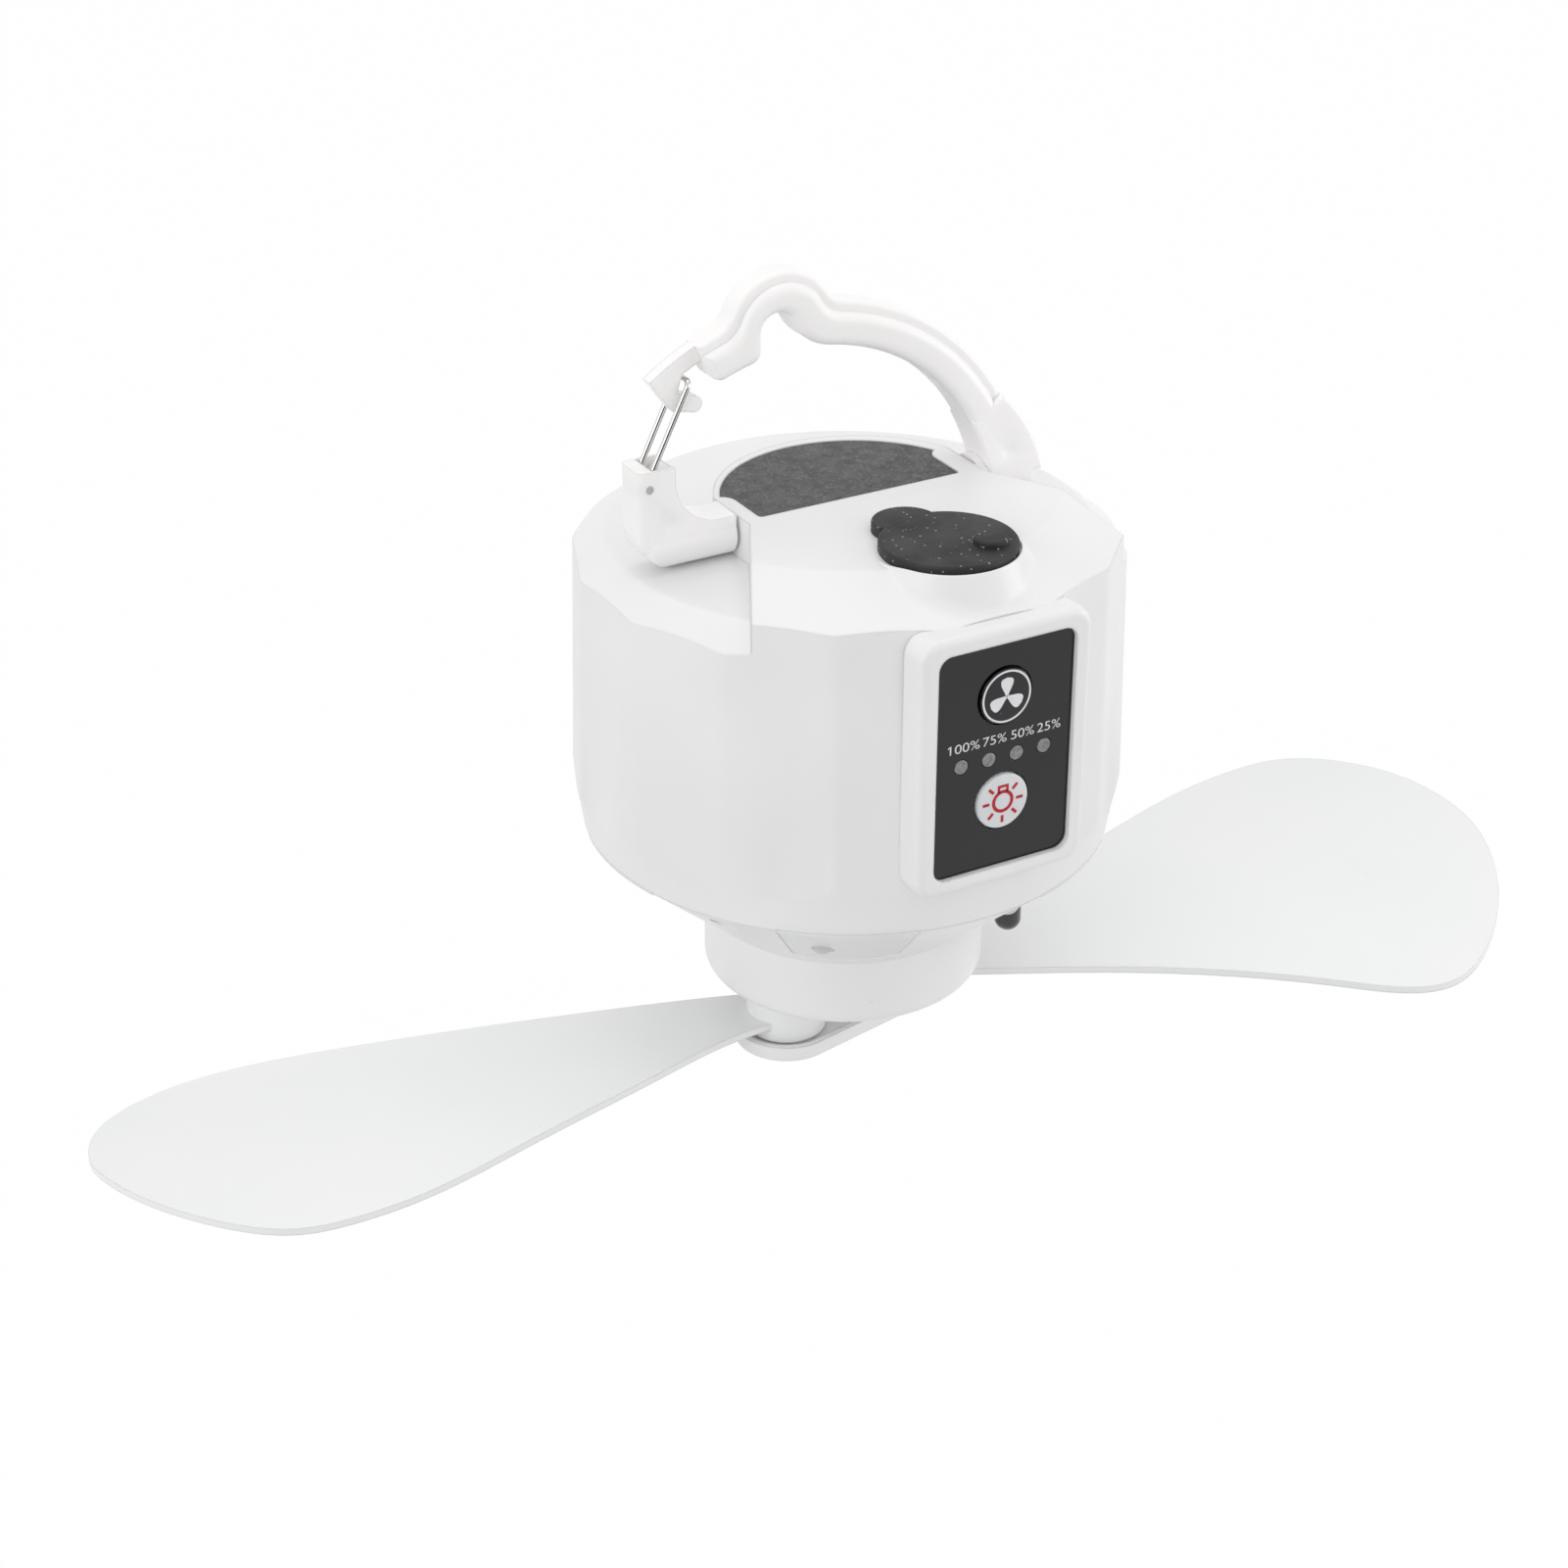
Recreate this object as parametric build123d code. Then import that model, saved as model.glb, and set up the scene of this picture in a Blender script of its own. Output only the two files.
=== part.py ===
from build123d import *
import os
from math import cos, pi, radians, sin, sqrt, tan

# Rechargeable hanging fan with a lamp: a faceted drum under a folding carabiner handle,
# with two folding blades below it. Millimetres, +Z up, the control panel faces -Y.
# It is drawn about the drum's axis with the deck, the flat top, at z = 0, and is written
# out with its origin in the notch of the handle, where a hook carries it.

# Clearances and the overrun of every cut
run_clear = 0.05  # shaft or pin in its bore, on the radius
pin_clear = 0.02  # pressed pin in its bore
fit_clear = 0.15  # piece in its own recess
gap_clear = 0.3  # moving piece beside a fixed one
side_clear = 0.4  # button cap in its hole
overrun = 4.0

# Drum
flat_count = 16
drum_flat_r = 53.2  # axis to a flat, level with the deck
drum_draft = 1.15  # degrees, wider downwards
drum_edge_r = 9.0  # rounding between two flats
drum_height = 70.4  # deck to the parting line
band_height = 7.6  # plain round band below the flats
scallop_slope = 3.0  # how steeply the band's edge runs up between two flats
band_r = 53.2  # at the parting line
wall = 2.4
deck_r = 41.0
deck_round = 2.6
shoulder_run = 12.2
shoulder_drop = 6.5
ledge_drop = 8.5  # deck to the ledge that the folded handle lies on
ledge_r = 48.4
ledge_run = 5.0
ledge_fall = 4.0
island_half = 26.5  # half width between the step walls
island_r = 28.8  # half-moon behind the hinge line
island_y = -4.7  # its centre
step_start = 7.6  # hinge line to the bend in the step wall
step_angle = 28.7  # degrees off the middle plane
post_r = 3.2  # screw posts inside the wall
post_length = 14.0
post_circle_r = 48.2
post_angles = (60.0, 180.0, 300.0)

# Bezel and control panel
bezel_width = 37.4
bezel_height = 53.4
bezel_top = 6.9  # below the deck
bezel_face = 57.3  # axis to the bezel's face
bezel_corner_r = 4.2
bezel_edge_r = 1.7
panel_width = 29.9
panel_height = 46.4
panel_corner_r = 2.8
panel_thick = 0.9
panel_sink = 0.9  # bezel face to panel face
panel_floor = 2.1  # wall behind the panel
button_d = 11.2
button_proud = 0.6  # cap above the panel face
button_round = 0.3
button_flange = 1.1
button_flange_thick = 0.8
button_travel = 0.7
fan_button_up = 12.3  # panel centre to button centre
light_button_up = -9.6
led_d = 2.9
led_pitch = 6.1
led_up = -0.4
led_count = 4
led_proud = 0.1
board_gap = 4.0  # panel floor to the board
board_width = 30.0
board_height = 46.0
board_thick = 1.6
board_post_r = 1.9
board_post_inset = 3.0
switch_width = 6.0
switch_height = 1.7
switch_corner_r = 0.7
plunger_r = 1.7

# Charging port and its rubber cover
port_y = 35.9  # axis to the port's centre, forwards
cover_r = 13.2
cover_thick = 2.2
cover_round = 0.6
cover_lobe_r = 6.6
cover_lobe_reach = 11.6  # cover centre to the lobe's centre
cover_hinge_reach = 11.4  # cover centre to the hinge line
cover_turn = 11.5  # degrees that the hinge line is turned
tab_r = 3.3
tab_reach = 7.9
tab_turn = 35.0  # degrees off the line opposite the hinge
tab_height = 1.3
collar_margin = 1.0
collar_spread = 3.0  # wider at its foot
plug_r = 8.4
plug_depth = 1.6
well_r = 9.6
well_depth = 7.2
well_wall = 2.4
socket_length = 8.94
socket_width = 3.26
socket_height = 7.4
socket_skin = 0.32
socket_bottom = 1.2
tongue_width = 6.7
tongue_thick = 0.7
tongue_sink = 0.8
charge_board_width = 20.0
charge_board_depth = 13.0
charge_post_r = 1.6

# Bare plate on the half-moon
plate_r = 26.6
plate_x = -0.8
plate_y = -4.7
plate_half_width = 22.3
plate_front = 5.7  # hinge line to its straight edge, forwards
plate_thick = 0.4
plate_sink = 0.55
plate_bite_r = 3.2
plate_bite_y = 3.5
plate_corner_r = 0.9

# Handle
barrel_r = 4.4
barrel_gap = 0.7  # step wall to the inner end of a barrel
pin_r = 1.5
pin_reach = 39.0
pin_boss_r = 3.2
arch_x = -13.0  # centre of the arch
arch_z = -13.0
foot_width = 11.59  # right barrel's inner end to the arch's outer edge
arch_radial = 8.6
body_round = 2.2
rim_round = 0.9
foot_round = 0.8
arch_depth = 8.8  # front to back
flange_depth = 5.6  # thinner outer rim
flange_radial = 1.9
bump_x = -16.6
bump_drop = 4.4  # top of the plain arch to the bump's centre
bump_r = 11.4
notch_x = -17.9
notch_drop = 4.2  # top of the plain arch to the notch's centre
notch_r = 3.5
notch_left_lip = 2.6
notch_sweep_r = 11.0  # long curve from the notch into the arch
body_end_r = 2.4  # lower corner where the thick body ends
bump_blend = 6.0
right_flare = 3.41  # how far the right foot spreads past the arch
block_outer = 47.9  # left block, outer side
block_inner = 40.2
block_top = 12.9
block_depth = 7.8  # front to back
block_corner_r = 1.5
block_foot_r = 9.5  # lower outer corner
block_curve = 9.5
body_end_angle = 114.2  # degrees round the arch where the thick body ends
nose_end_angle = 126.2  # degrees round the arch where the nose ends
nose_depth = 2.8
nose_radial = 8.0
nose_neck = 3.3
nose_bend_angle = 119.5
right_angle = 30.0  # degrees round the arch where the right block begins
flare_angle = 19.82  # degrees round the arch to the middle of that spread
flare_out = 2.25
barrel_round = 3.4
dimple_ball_r = 4.0
dimple_depth = 0.45
dimple_up = 5.5
dimple_left = 41.0
dimple_right = 8.1  # outer end of the right foot to the dimple

# Wire gate
gate_x = -45.6
gate_z = 9.4
gate_bar_angle = 119.15  # degrees round the arch to the bar of the gate
gate_bar_in = 4.97  # arch's outer edge to the bar
wire_d = 1.1
wire_half = 2.3  # middle plane to the middle of a leg
wire_bend_share = 0.56
gate_eye_r = 1.5
gate_pin_r = 0.75
gate_eye_width = 1.2
gate_opening = 26.0  # degrees inwards
hook_r = 1.6
hook_drop = 5.0
hook_in = 1.5

# Lower shell and lamp windows
cone_drop = 20.9  # parting line to the motor boss
boss_r = 28.7
boss_depth = 15.0
boss_round = 3.2
rim_inner_r = 44.8  # flat seat inside the parting line
cone_wall = 2.4
window_count = 6
window_first = -30.0  # degrees from the front towards +X
window_margin = 0.3  # parting line to a window's outer face
window_rise = 1.6  # how far a window laps up over the band
window_lap = 1.7
window_foot_margin = 3.6  # boss to a window's inner edge
window_top_half = 14.2
window_foot_half = 10.4
window_corner_r = 1.0
window_sink = 0.5
window_thick = 1.1
window_lip = 1.6
lamp_d = 5.0
lamp_share = 0.374  # of the way from a window's inner to its outer edge
lamp_turn = -6.8  # degrees off the window's middle
lamp_proud = 0.5
receiver_d = 5.4
receiver_share = 0.218
receiver_angle = 33.0
receiver_proud = 5.5
lamp_board_inner = 33.0
lamp_board_thick = 1.6
screw_r = 1.4
screw_head_r = 2.4
screw_head = 1.5
screw_length = 12.0
screw_sink = 0.9

# Battery tray and cells
tray_clear = 0.3
tray_thick = 2.0
cell_d = 18.4
cell_length = 65.2
cell_pitch = 19.6
cell_y = 7.0
saddle_length = 12.0
saddle_spread = 40.0
saddle_rise_share = 0.42
cell_lift = 1.6
cell_cap_r = 2.9
cell_cap = 1.0
tray_hole_r = 9.0

# Motor
motor_r = 19.5
motor_height = 17.0
motor_round = 1.6
motor_floor = 2.7  # floor of the boss
motor_cap_r = 15.0
motor_cap_height = 3.2
motor_bush_r = 4.6
motor_bush = 1.9
motor_screw_circle = 13.0
motor_screw_r = 1.3
motor_screw_head_r = 2.5
motor_screw_head = 1.4
motor_screw_length = 6.0
shaft_r = 2.0
shaft_length = 27.0
shaft_bore_depth = 12.0

# Rotor
rotor_turn = 12.0  # degrees, as it stands
pivot_r = 15.8
hub_end_r = 10.6
hub_floor = 2.6
hub_rim = 0.9
hub_rim_wide = 1.3
hub_edge_r = 0.8
hub_boss_r = 5.6
hub_gap = 0.9  # boss of the housing to what turns below it
knuckle_r = 8.2
knuckle_height = 9.4
knuckle_round = 0.8
pivot_pin_r = 2.0
pivot_head_r = 3.6
pivot_head = 1.1
pivot_recess = 0.4
washer_r = 4.4
washer_thick = 0.8
washer_sink = 1.4

# Blades
blade_turn = 173.2  # degrees, the way blade A points as it stands
blade_length = 145.2  # pivot to tip
blade_half_chord = 40.4
blade_offset = 1.6
blade_thick = 1.5
blade_camber = 4.6
blade_root_pitch = 2.2
blade_tip_pitch = 12.6
blade_drop = 6.6  # housing boss to the middle of the blade at its root
# planform from the root to the tip: share of the length, shares of the half chord on the two sides
blade_plan_shares = (
    (0.0, 0.10, 0.20),
    (0.10, 0.145, 0.31),
    (0.23, 0.325, 0.435),
    (0.45, 0.655, 0.665),
    (0.62, 0.905, 0.875),
    (0.72, 0.985, 0.985),
    (0.80, 0.985, 0.985),
    (0.89, 0.80, 0.80),
    (0.96, 0.49, 0.49),
    (0.993, 0.19, 0.19),
    (1.0, 0.0, 0.0),
)
sheet_share = 1.25  # half width of the uncut sheet
section_shares = (-0.05, 0.3, 0.65, 1.05)

# Sizes that follow from the ones above
hinge_z = barrel_r + gap_clear - ledge_drop
barrel_inner = island_half + barrel_gap
foot_x = barrel_inner + foot_width
foot_rise = hinge_z - arch_z
arch_r = sqrt((foot_x - arch_x) ** 2 + foot_rise**2)
arch_in = arch_r - arch_radial
right_outer = foot_x + right_flare
bump_z = arch_z + arch_r - bump_drop
notch_z = arch_z + arch_r - notch_drop
window_top_r = band_r - window_margin
window_foot_r = boss_r + window_foot_margin
lamp_r = window_foot_r + (window_top_r - window_foot_r) * lamp_share
receiver_r = window_foot_r + (window_top_r - window_foot_r) * receiver_share
drum_low = -drum_height
cone_low = drum_low - cone_drop
boss_low = cone_low - boss_depth
cone_slope = cone_drop / (band_r - boss_r)
inner_r = drum_flat_r - wall
band_inner_r = band_r - wall
panel_mid = -bezel_top - bezel_height / 2
panel_face = bezel_face - panel_sink
floor_face = panel_face - panel_thick
floor_back = floor_face - panel_floor
board_face = floor_back - board_gap
knuckle_top = boss_low - hub_gap
hub_top = knuckle_top - knuckle_height - gap_clear
hub_low = hub_top - hub_floor
blade_z = boss_low - blade_drop
tray_top = drum_low + tray_thick
cell_z = tray_top + cell_lift + cell_d / 2
seat_z = drum_low - lamp_board_thick
origin_shift = Location((-notch_x, 0, -(notch_z + notch_r)))


def around(angle, radius):
    # a point at an angle from the front towards +X, as seen from above
    return (radius * sin(radians(angle)), -radius * cos(radians(angle)))


def drum(radius, low, high, place=(0, 0)):
    return Pos(place[0], place[1], (low + high) / 2) * Cylinder(radius, high - low)


def block(x_low, x_high, y_low, y_high, z_low, z_high):
    middle = ((x_low + x_high) / 2, (y_low + y_high) / 2, (z_low + z_high) / 2)
    return Pos(*middle) * Box(x_high - x_low, y_high - y_low, z_high - z_low)


def upright(face, low, high):
    # prism of a plan drawn on XY between two levels
    return Pos(0, 0, low) * extrude(face, high - low)


def across(face, half_depth):
    # prism of a side view drawn on XZ, to both sides of the middle plane
    return extrude(face, half_depth, both=True)


def forwards(face, near, far):
    # prism of a front view, between two distances in front of the axis
    return Pos(0, -near, 0) * extrude(face, far - near)


def turned(points):
    # solid of revolution from a half section: radius, height
    outline = Polyline(*[(r, 0, z) for r, z in points], close=True)
    return revolve(make_face(outline), Axis.Z)


def front_plate(width, height, corner, up):
    return Plane.XZ * (Pos(0, up) * RectangleRounded(width, height, corner))


def front_disc(radius, x, up):
    return Plane.XZ * (Pos(x, up) * Circle(radius))


def cone_z(radius):
    # height of the lower shell's outer cone at a radius
    return drum_low - (band_r - radius) * cone_slope


# Drum body: a tapered polygon cut by two turned profiles
def flats(level):
    radius = drum_flat_r - level * tan(radians(drum_draft))
    plan = RegularPolygon(radius, flat_count, major_radius=False, rotation=180 / flat_count)
    return fillet(plan.vertices(), drum_edge_r)


def faceted(low, high):
    return loft([Pos(0, 0, low) * flats(low), Pos(0, 0, high) * flats(high)], ruled=True)


corner_r = (drum_flat_r + drum_height * tan(radians(drum_draft))) / cos(pi / flat_count) + overrun
band_top = drum_low + band_height
band_top_r = drum_flat_r - band_top * tan(radians(drum_draft))
scallop_top = band_top + (corner_r - band_top_r) * scallop_slope


def envelope(top_r, top_z, run, drop, rounding):
    slope = drop / run
    reach = corner_r - top_r
    profile = [
        Line((0, 0, top_z), (top_r, 0, top_z)),
        Line((top_r, 0, top_z), (corner_r, 0, top_z - reach * slope)),
        Line((corner_r, 0, top_z - reach * slope), (corner_r, 0, scallop_top)),
        Line((corner_r, 0, scallop_top), (band_top_r, 0, band_top)),
        Line((band_top_r, 0, band_top), (band_r, 0, drum_low)),
        Line((band_r, 0, drum_low), (0, 0, drum_low)),
        Line((0, 0, drum_low), (0, 0, top_z)),
    ]
    face = make_face(profile)
    bend = face.vertices().sort_by_distance((top_r, 0, top_z))[0]
    face = fillet(bend, rounding)
    return revolve(face, Axis.Z)


step_reach = corner_r * 2
step_x = island_half + step_reach * sin(radians(step_angle))
step_y = -step_start - step_reach * cos(radians(step_angle))


def platform_plan(inset):
    # plan of the raised deck: front sector between the step walls, and the half-moon
    side = island_half - inset
    bend = inset * tan(radians(step_angle / 2))
    front = Polyline(
        (side, 0),
        (side, -step_start + bend),
        (step_x - inset / cos(radians(step_angle)), step_y),
        (-step_x + inset / cos(radians(step_angle)), step_y),
        (-side, -step_start + bend),
        (-side, 0),
        close=True,
    )
    half_moon = Pos(0, island_y) * Circle(island_r - inset) & Rectangle(side * 2, island_r * 2)
    return make_face(front) + half_moon


solid_drum = faceted(drum_low, overrun)
raised = envelope(deck_r, 0, shoulder_run, shoulder_drop, deck_round)
lowered = envelope(ledge_r, -ledge_drop, ledge_run, ledge_fall, deck_round)
upper = solid_drum & raised & upright(platform_plan(0), drum_low, overrun)
upper += solid_drum & lowered

# Bezel round the panel
bezel = forwards(
    front_plate(bezel_width, bezel_height, bezel_corner_r, panel_mid), inner_r, bezel_face
)
bezel = fillet(bezel.faces().sort_by(Axis.Y)[0].edges(), bezel_edge_r)
upper += bezel

# Collar that carries the port cover level over the sloping shoulder
port_place = (0, -port_y)
collar_r = cover_r + collar_margin
collar_low = -shoulder_drop - wall
collar = Pos(0, -port_y, collar_low / 2) * Cone(collar_r + collar_spread, collar_r, -collar_low)
upper += collar & solid_drum

# Hollow inside
cavity_top = -ledge_drop - wall
cavity = turned(
    [
        (0, cavity_top),
        (ledge_r - wall, cavity_top),
        (inner_r, cavity_top - (inner_r - ledge_r + wall) * ledge_fall / ledge_run),
        (inner_r, band_top),
        (band_inner_r, drum_low),
        (band_inner_r, drum_low - overrun),
        (0, drum_low - overrun),
    ]
)
attic = turned(
    [
        (0, -wall),
        (deck_r - wall, -wall),
        (inner_r - wall, -wall - (inner_r - deck_r) * shoulder_drop / shoulder_run),
        (inner_r - wall, cavity_top - overrun),
        (0, cavity_top - overrun),
    ]
)
cavity += attic & upright(platform_plan(wall), cavity_top - overrun, 0)
upper -= cavity
upper -= forwards(
    front_plate(board_width + wall, bezel_height - wall * 2, panel_corner_r, panel_mid),
    board_face - board_thick - overrun,
    floor_back,
)

# Pocket for the panel, with its holes
upper -= forwards(
    front_plate(
        panel_width + fit_clear * 2, panel_height + fit_clear * 2, panel_corner_r, panel_mid
    ),
    floor_face,
    bezel_face + overrun,
)
button_hole_r = button_d / 2 + side_clear
led_hole_r = led_d / 2 + fit_clear
led_places = [
    ((i - (led_count - 1) / 2) * led_pitch, panel_mid + led_up) for i in range(led_count)
]
button_ups = (panel_mid + fan_button_up, panel_mid + light_button_up)
for up in button_ups:
    upper -= forwards(front_disc(button_hole_r, 0, up), floor_back - overrun, bezel_face)
for x, up in led_places:
    upper -= forwards(front_disc(led_hole_r, x, up), floor_back - overrun, bezel_face)
board_post_x = board_width / 2 - board_post_inset
board_post_z = board_height / 2 - board_post_inset
for x in (-board_post_x, board_post_x):
    for up in (panel_mid - board_post_z, panel_mid + board_post_z):
        upper += forwards(front_disc(board_post_r, x, up), board_face, floor_back)

# Cup of the charging port, pressed into the collar, and the posts of its board
well_floor = -well_depth
socket_mouth = well_floor
socket_low = socket_mouth - socket_height
cup_r = well_r + well_wall
upper -= drum(cup_r + pin_clear, cavity_top - overrun, overrun, port_place)
cup = drum(cup_r, well_floor - wall, 0, port_place)
cup -= drum(well_r, well_floor, overrun, port_place)
socket_plan = Pos(*port_place) * SlotOverall(socket_length, socket_width)
cup -= upright(offset(socket_plan, fit_clear), well_floor - wall - overrun, overrun)
charge_post_x = charge_board_width / 2 - charge_post_r
for x in (-charge_post_x, charge_post_x):
    cup += drum(charge_post_r, socket_low, well_floor - wall, (x, -port_y))

# Seat of the bare plate
def plate_plan(grow):
    disc = Pos(plate_x, plate_y) * Circle(plate_r + grow)
    front = -plate_front - grow
    plan = disc & Pos(plate_x, front + plate_r) * Rectangle(plate_r * 4, plate_r * 2)
    for side in (-1, 1):
        x = plate_x + side * (plate_half_width + grow + plate_bite_r)
        plan -= Pos(x, plate_bite_y) * Circle(plate_bite_r)
        plan -= Pos(x, plate_bite_y - plate_r / 2) * Rectangle(plate_bite_r * 2, plate_r)
    corners = plan.vertices().group_by(Axis.Y)[0]
    return fillet(corners, plate_corner_r)


upper -= upright(plate_plan(fit_clear), -plate_sink, overrun)

# Tunnel that the hinge pin turns in, under the deck
along_hinge = Pos(0, 0, hinge_z) * Rot(0, 90, 0)
upper += along_hinge * Cylinder(pin_boss_r, island_half * 2 - wall)
upper -= along_hinge * Cylinder(pin_r + run_clear, (island_half + overrun) * 2)

# Screw posts inside the wall
for angle in post_angles:
    place = around(angle, post_circle_r)
    upper += drum(post_r, drum_low, drum_low + post_length, place)
    upper -= drum(screw_r + pin_clear, drum_low - overrun, drum_low + screw_length, place)

# Control panel, with a hole for each button and indicator
panel = forwards(
    front_plate(panel_width, panel_height, panel_corner_r, panel_mid), floor_face, panel_face
)
for up in button_ups:
    panel -= forwards(front_disc(button_hole_r, 0, up), floor_back, bezel_face)
for x, up in led_places:
    panel -= forwards(front_disc(led_hole_r, x, up), floor_back, bezel_face)

# Buttons: a cap with a flange behind the wall
def button(up):
    cap = forwards(
        front_disc(button_d / 2, 0, up), floor_back - button_flange_thick, panel_face + button_proud
    )
    cap = fillet(cap.faces().sort_by(Axis.Y)[0].edges(), button_round)
    flange = front_disc(button_hole_r + button_flange, 0, up)
    return cap + forwards(flange, floor_back - button_flange_thick, floor_back)


# Board behind the panel with its switches and indicators
board = forwards(
    front_plate(board_width, board_height, panel_corner_r, panel_mid),
    board_face - board_thick,
    board_face,
)
plunger_face = floor_back - button_flange_thick - button_travel - gap_clear


def switch(up):
    body = front_plate(switch_width, switch_width, switch_corner_r, up)
    plunger = forwards(front_disc(plunger_r, 0, up), board_face, plunger_face)
    return forwards(body, board_face, board_face + switch_height) + plunger


def indicator(x, up):
    lens = forwards(front_disc(led_d / 2, x, up), board_face, panel_face + led_proud)
    return fillet(lens.faces().sort_by(Axis.Y)[0].edges(), led_proud)


# Charging socket and its board
socket = upright(socket_plan, socket_low, socket_mouth)
socket -= upright(offset(socket_plan, -socket_skin), socket_low + socket_bottom, overrun)
socket += Pos(0, -port_y, 0) * block(
    -tongue_width / 2,
    tongue_width / 2,
    -tongue_thick / 2,
    tongue_thick / 2,
    socket_low,
    socket_mouth - tongue_sink,
)
charge_board = Pos(0, -port_y, 0) * block(
    -charge_board_width / 2,
    charge_board_width / 2,
    -charge_board_depth / 2,
    charge_board_depth / 2,
    socket_low - board_thick,
    socket_low,
)

# Rubber cover: a flap with a plug and a finger tab, and the lobe that stays put
hinge_frame = Pos(0, -port_y) * Rot(0, 0, cover_turn)
cover_plan = Circle(cover_r) + Pos(0, cover_lobe_reach) * Circle(cover_lobe_r)
flap_half = cover_r + cover_lobe_r
flap_keep = Pos(0, cover_hinge_reach - flap_half) * Rectangle(flap_half * 2, flap_half * 2)
lobe_keep = Pos(0, cover_hinge_reach + gap_clear + flap_half) * Rectangle(
    flap_half * 2, flap_half * 2
)
tab_place = around(tab_turn, tab_reach)
flap = upright(cover_plan & flap_keep, 0, cover_thick)
rim_edges = flap.faces().sort_by(Axis.Z)[-1].edges().filter_by(GeomType.CIRCLE)
flap = fillet(rim_edges, cover_round)
flap += drum(tab_r, cover_thick / 2, cover_thick + tab_height, tab_place)
flap = fillet(flap.faces().sort_by(Axis.Z)[-1].edges(), cover_round)
flap += drum(plug_r, -plug_depth, 0)
flap = hinge_frame * flap
lobe = upright(cover_plan & lobe_keep, 0, cover_thick)
lobe = fillet(lobe.faces().sort_by(Axis.Z)[-1].edges().filter_by(GeomType.CIRCLE), cover_round)
lobe = hinge_frame * lobe

plate = upright(plate_plan(0), -plate_sink, -plate_sink + plate_thick)
hinge_pin = along_hinge * Cylinder(pin_r, pin_reach * 2)


# Handle: a thin rim and a deeper body along one arch, with a block at each end
def arch_point(angle, radius):
    return (arch_x + radius * cos(radians(angle)), arch_z + radius * sin(radians(angle)))


def arch_line(radius, start, stop):
    return ThreePointArc(*[arch_point(a, radius) for a in (start, (start + stop) / 2, stop)])


def arch_face(r_out, r_in, start, stop):
    outline = [
        arch_line(r_out, start, stop),
        Line(arch_point(stop, r_out), arch_point(stop, r_in)),
        arch_line(r_in, stop, start),
        Line(arch_point(start, r_in), arch_point(start, r_out)),
    ]
    return make_face(outline)


foot_angle = Vector(foot_x - arch_x, foot_rise).get_angle(Vector(1, 0))


def notch_lip(side, radius):
    # rounding where a side of the notch meets the inner edge of the arch
    flank = notch_x + side * notch_r
    x = flank + side * radius
    rise = sqrt((arch_in + radius) ** 2 - (x - arch_x) ** 2)
    z = arch_z + rise
    share = arch_in / (arch_in + radius)
    touch = (arch_x + (x - arch_x) * share, arch_z + rise * share)
    mouth = (flank, arch_z + sqrt(arch_in**2 - (flank - arch_x) ** 2))
    corner = make_face(Polyline((flank, z), (x, z), touch, mouth, close=True))
    return corner - Pos(x, z) * Circle(radius)


def notch_sweep(radius):
    # what is cut away so that the notch runs out into the arch in one curve
    apart = Vector(notch_x - arch_x, notch_z - arch_z)
    far = arch_in + radius
    near = notch_r + radius
    along = (far**2 - near**2 + apart.length**2) / (2 * apart.length)
    aside = sqrt(far**2 - along**2)
    lean = apart.normalized()
    x = arch_x + lean.X * along + lean.Y * aside
    z = arch_z + lean.Y * along - lean.X * aside
    corner = make_face(Polyline((notch_x, notch_z), (x, z), (arch_x, arch_z), close=True))
    return corner - Pos(x, z) * Circle(radius)


def arch_side(inset, stop):
    # side view of the arch with its bump, for the rim or for the body inside it
    side = arch_face(arch_r - inset, arch_in, foot_angle, stop)
    side += Pos(bump_x, bump_z) * Circle(bump_r - inset) - Pos(arch_x, arch_z) * Circle(arch_in)
    outer_bends = side.vertices().sort_by_distance((bump_x, bump_z + bump_r))[:2]
    side = fillet(outer_bends, bump_blend)
    side -= Pos(notch_x, notch_z) * Circle(notch_r)
    side -= Pos(notch_x, notch_z - bump_r / 2) * Rectangle(notch_r * 2, bump_r)
    side -= notch_lip(-1, notch_left_lip)
    side -= notch_sweep(notch_sweep_r)
    end = side.vertices().sort_by_distance(arch_point(stop, arch_in))[0]
    return fillet(end, body_end_r)


rim_side = arch_side(0, body_end_angle)
body_side = arch_side(flange_radial, body_end_angle)
nose_side = make_face(
    [
        arch_line(arch_r, body_end_angle, nose_end_angle),
        Line(arch_point(nose_end_angle, arch_r), arch_point(nose_end_angle, arch_r - nose_radial)),
        Line(
            arch_point(nose_end_angle, arch_r - nose_radial),
            arch_point(nose_bend_angle, arch_r - nose_neck),
        ),
        Line(
            arch_point(nose_bend_angle, arch_r - nose_neck),
            arch_point(body_end_angle, arch_r - nose_neck),
        ),
        Line(arch_point(body_end_angle, arch_r - nose_neck), arch_point(body_end_angle, arch_r)),
    ]
)
gate_bar_x, gate_bar_z = arch_point(gate_bar_angle, arch_r - gate_bar_in)
hook_place = (gate_bar_x + hook_in, gate_bar_z - hook_drop)
hook_side = Pos(*hook_place) * Circle(hook_r)
hook_side += make_face(
    Polyline(
        arch_point(nose_end_angle, arch_r - nose_neck),
        arch_point(nose_end_angle, arch_r - nose_radial),
        (hook_place[0], hook_place[1] - hook_r),
        (hook_place[0], hook_place[1] + hook_r),
        arch_point((nose_end_angle + nose_bend_angle) / 2, arch_r - (nose_radial + nose_neck) / 2),
        close=True,
    )
)
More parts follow.
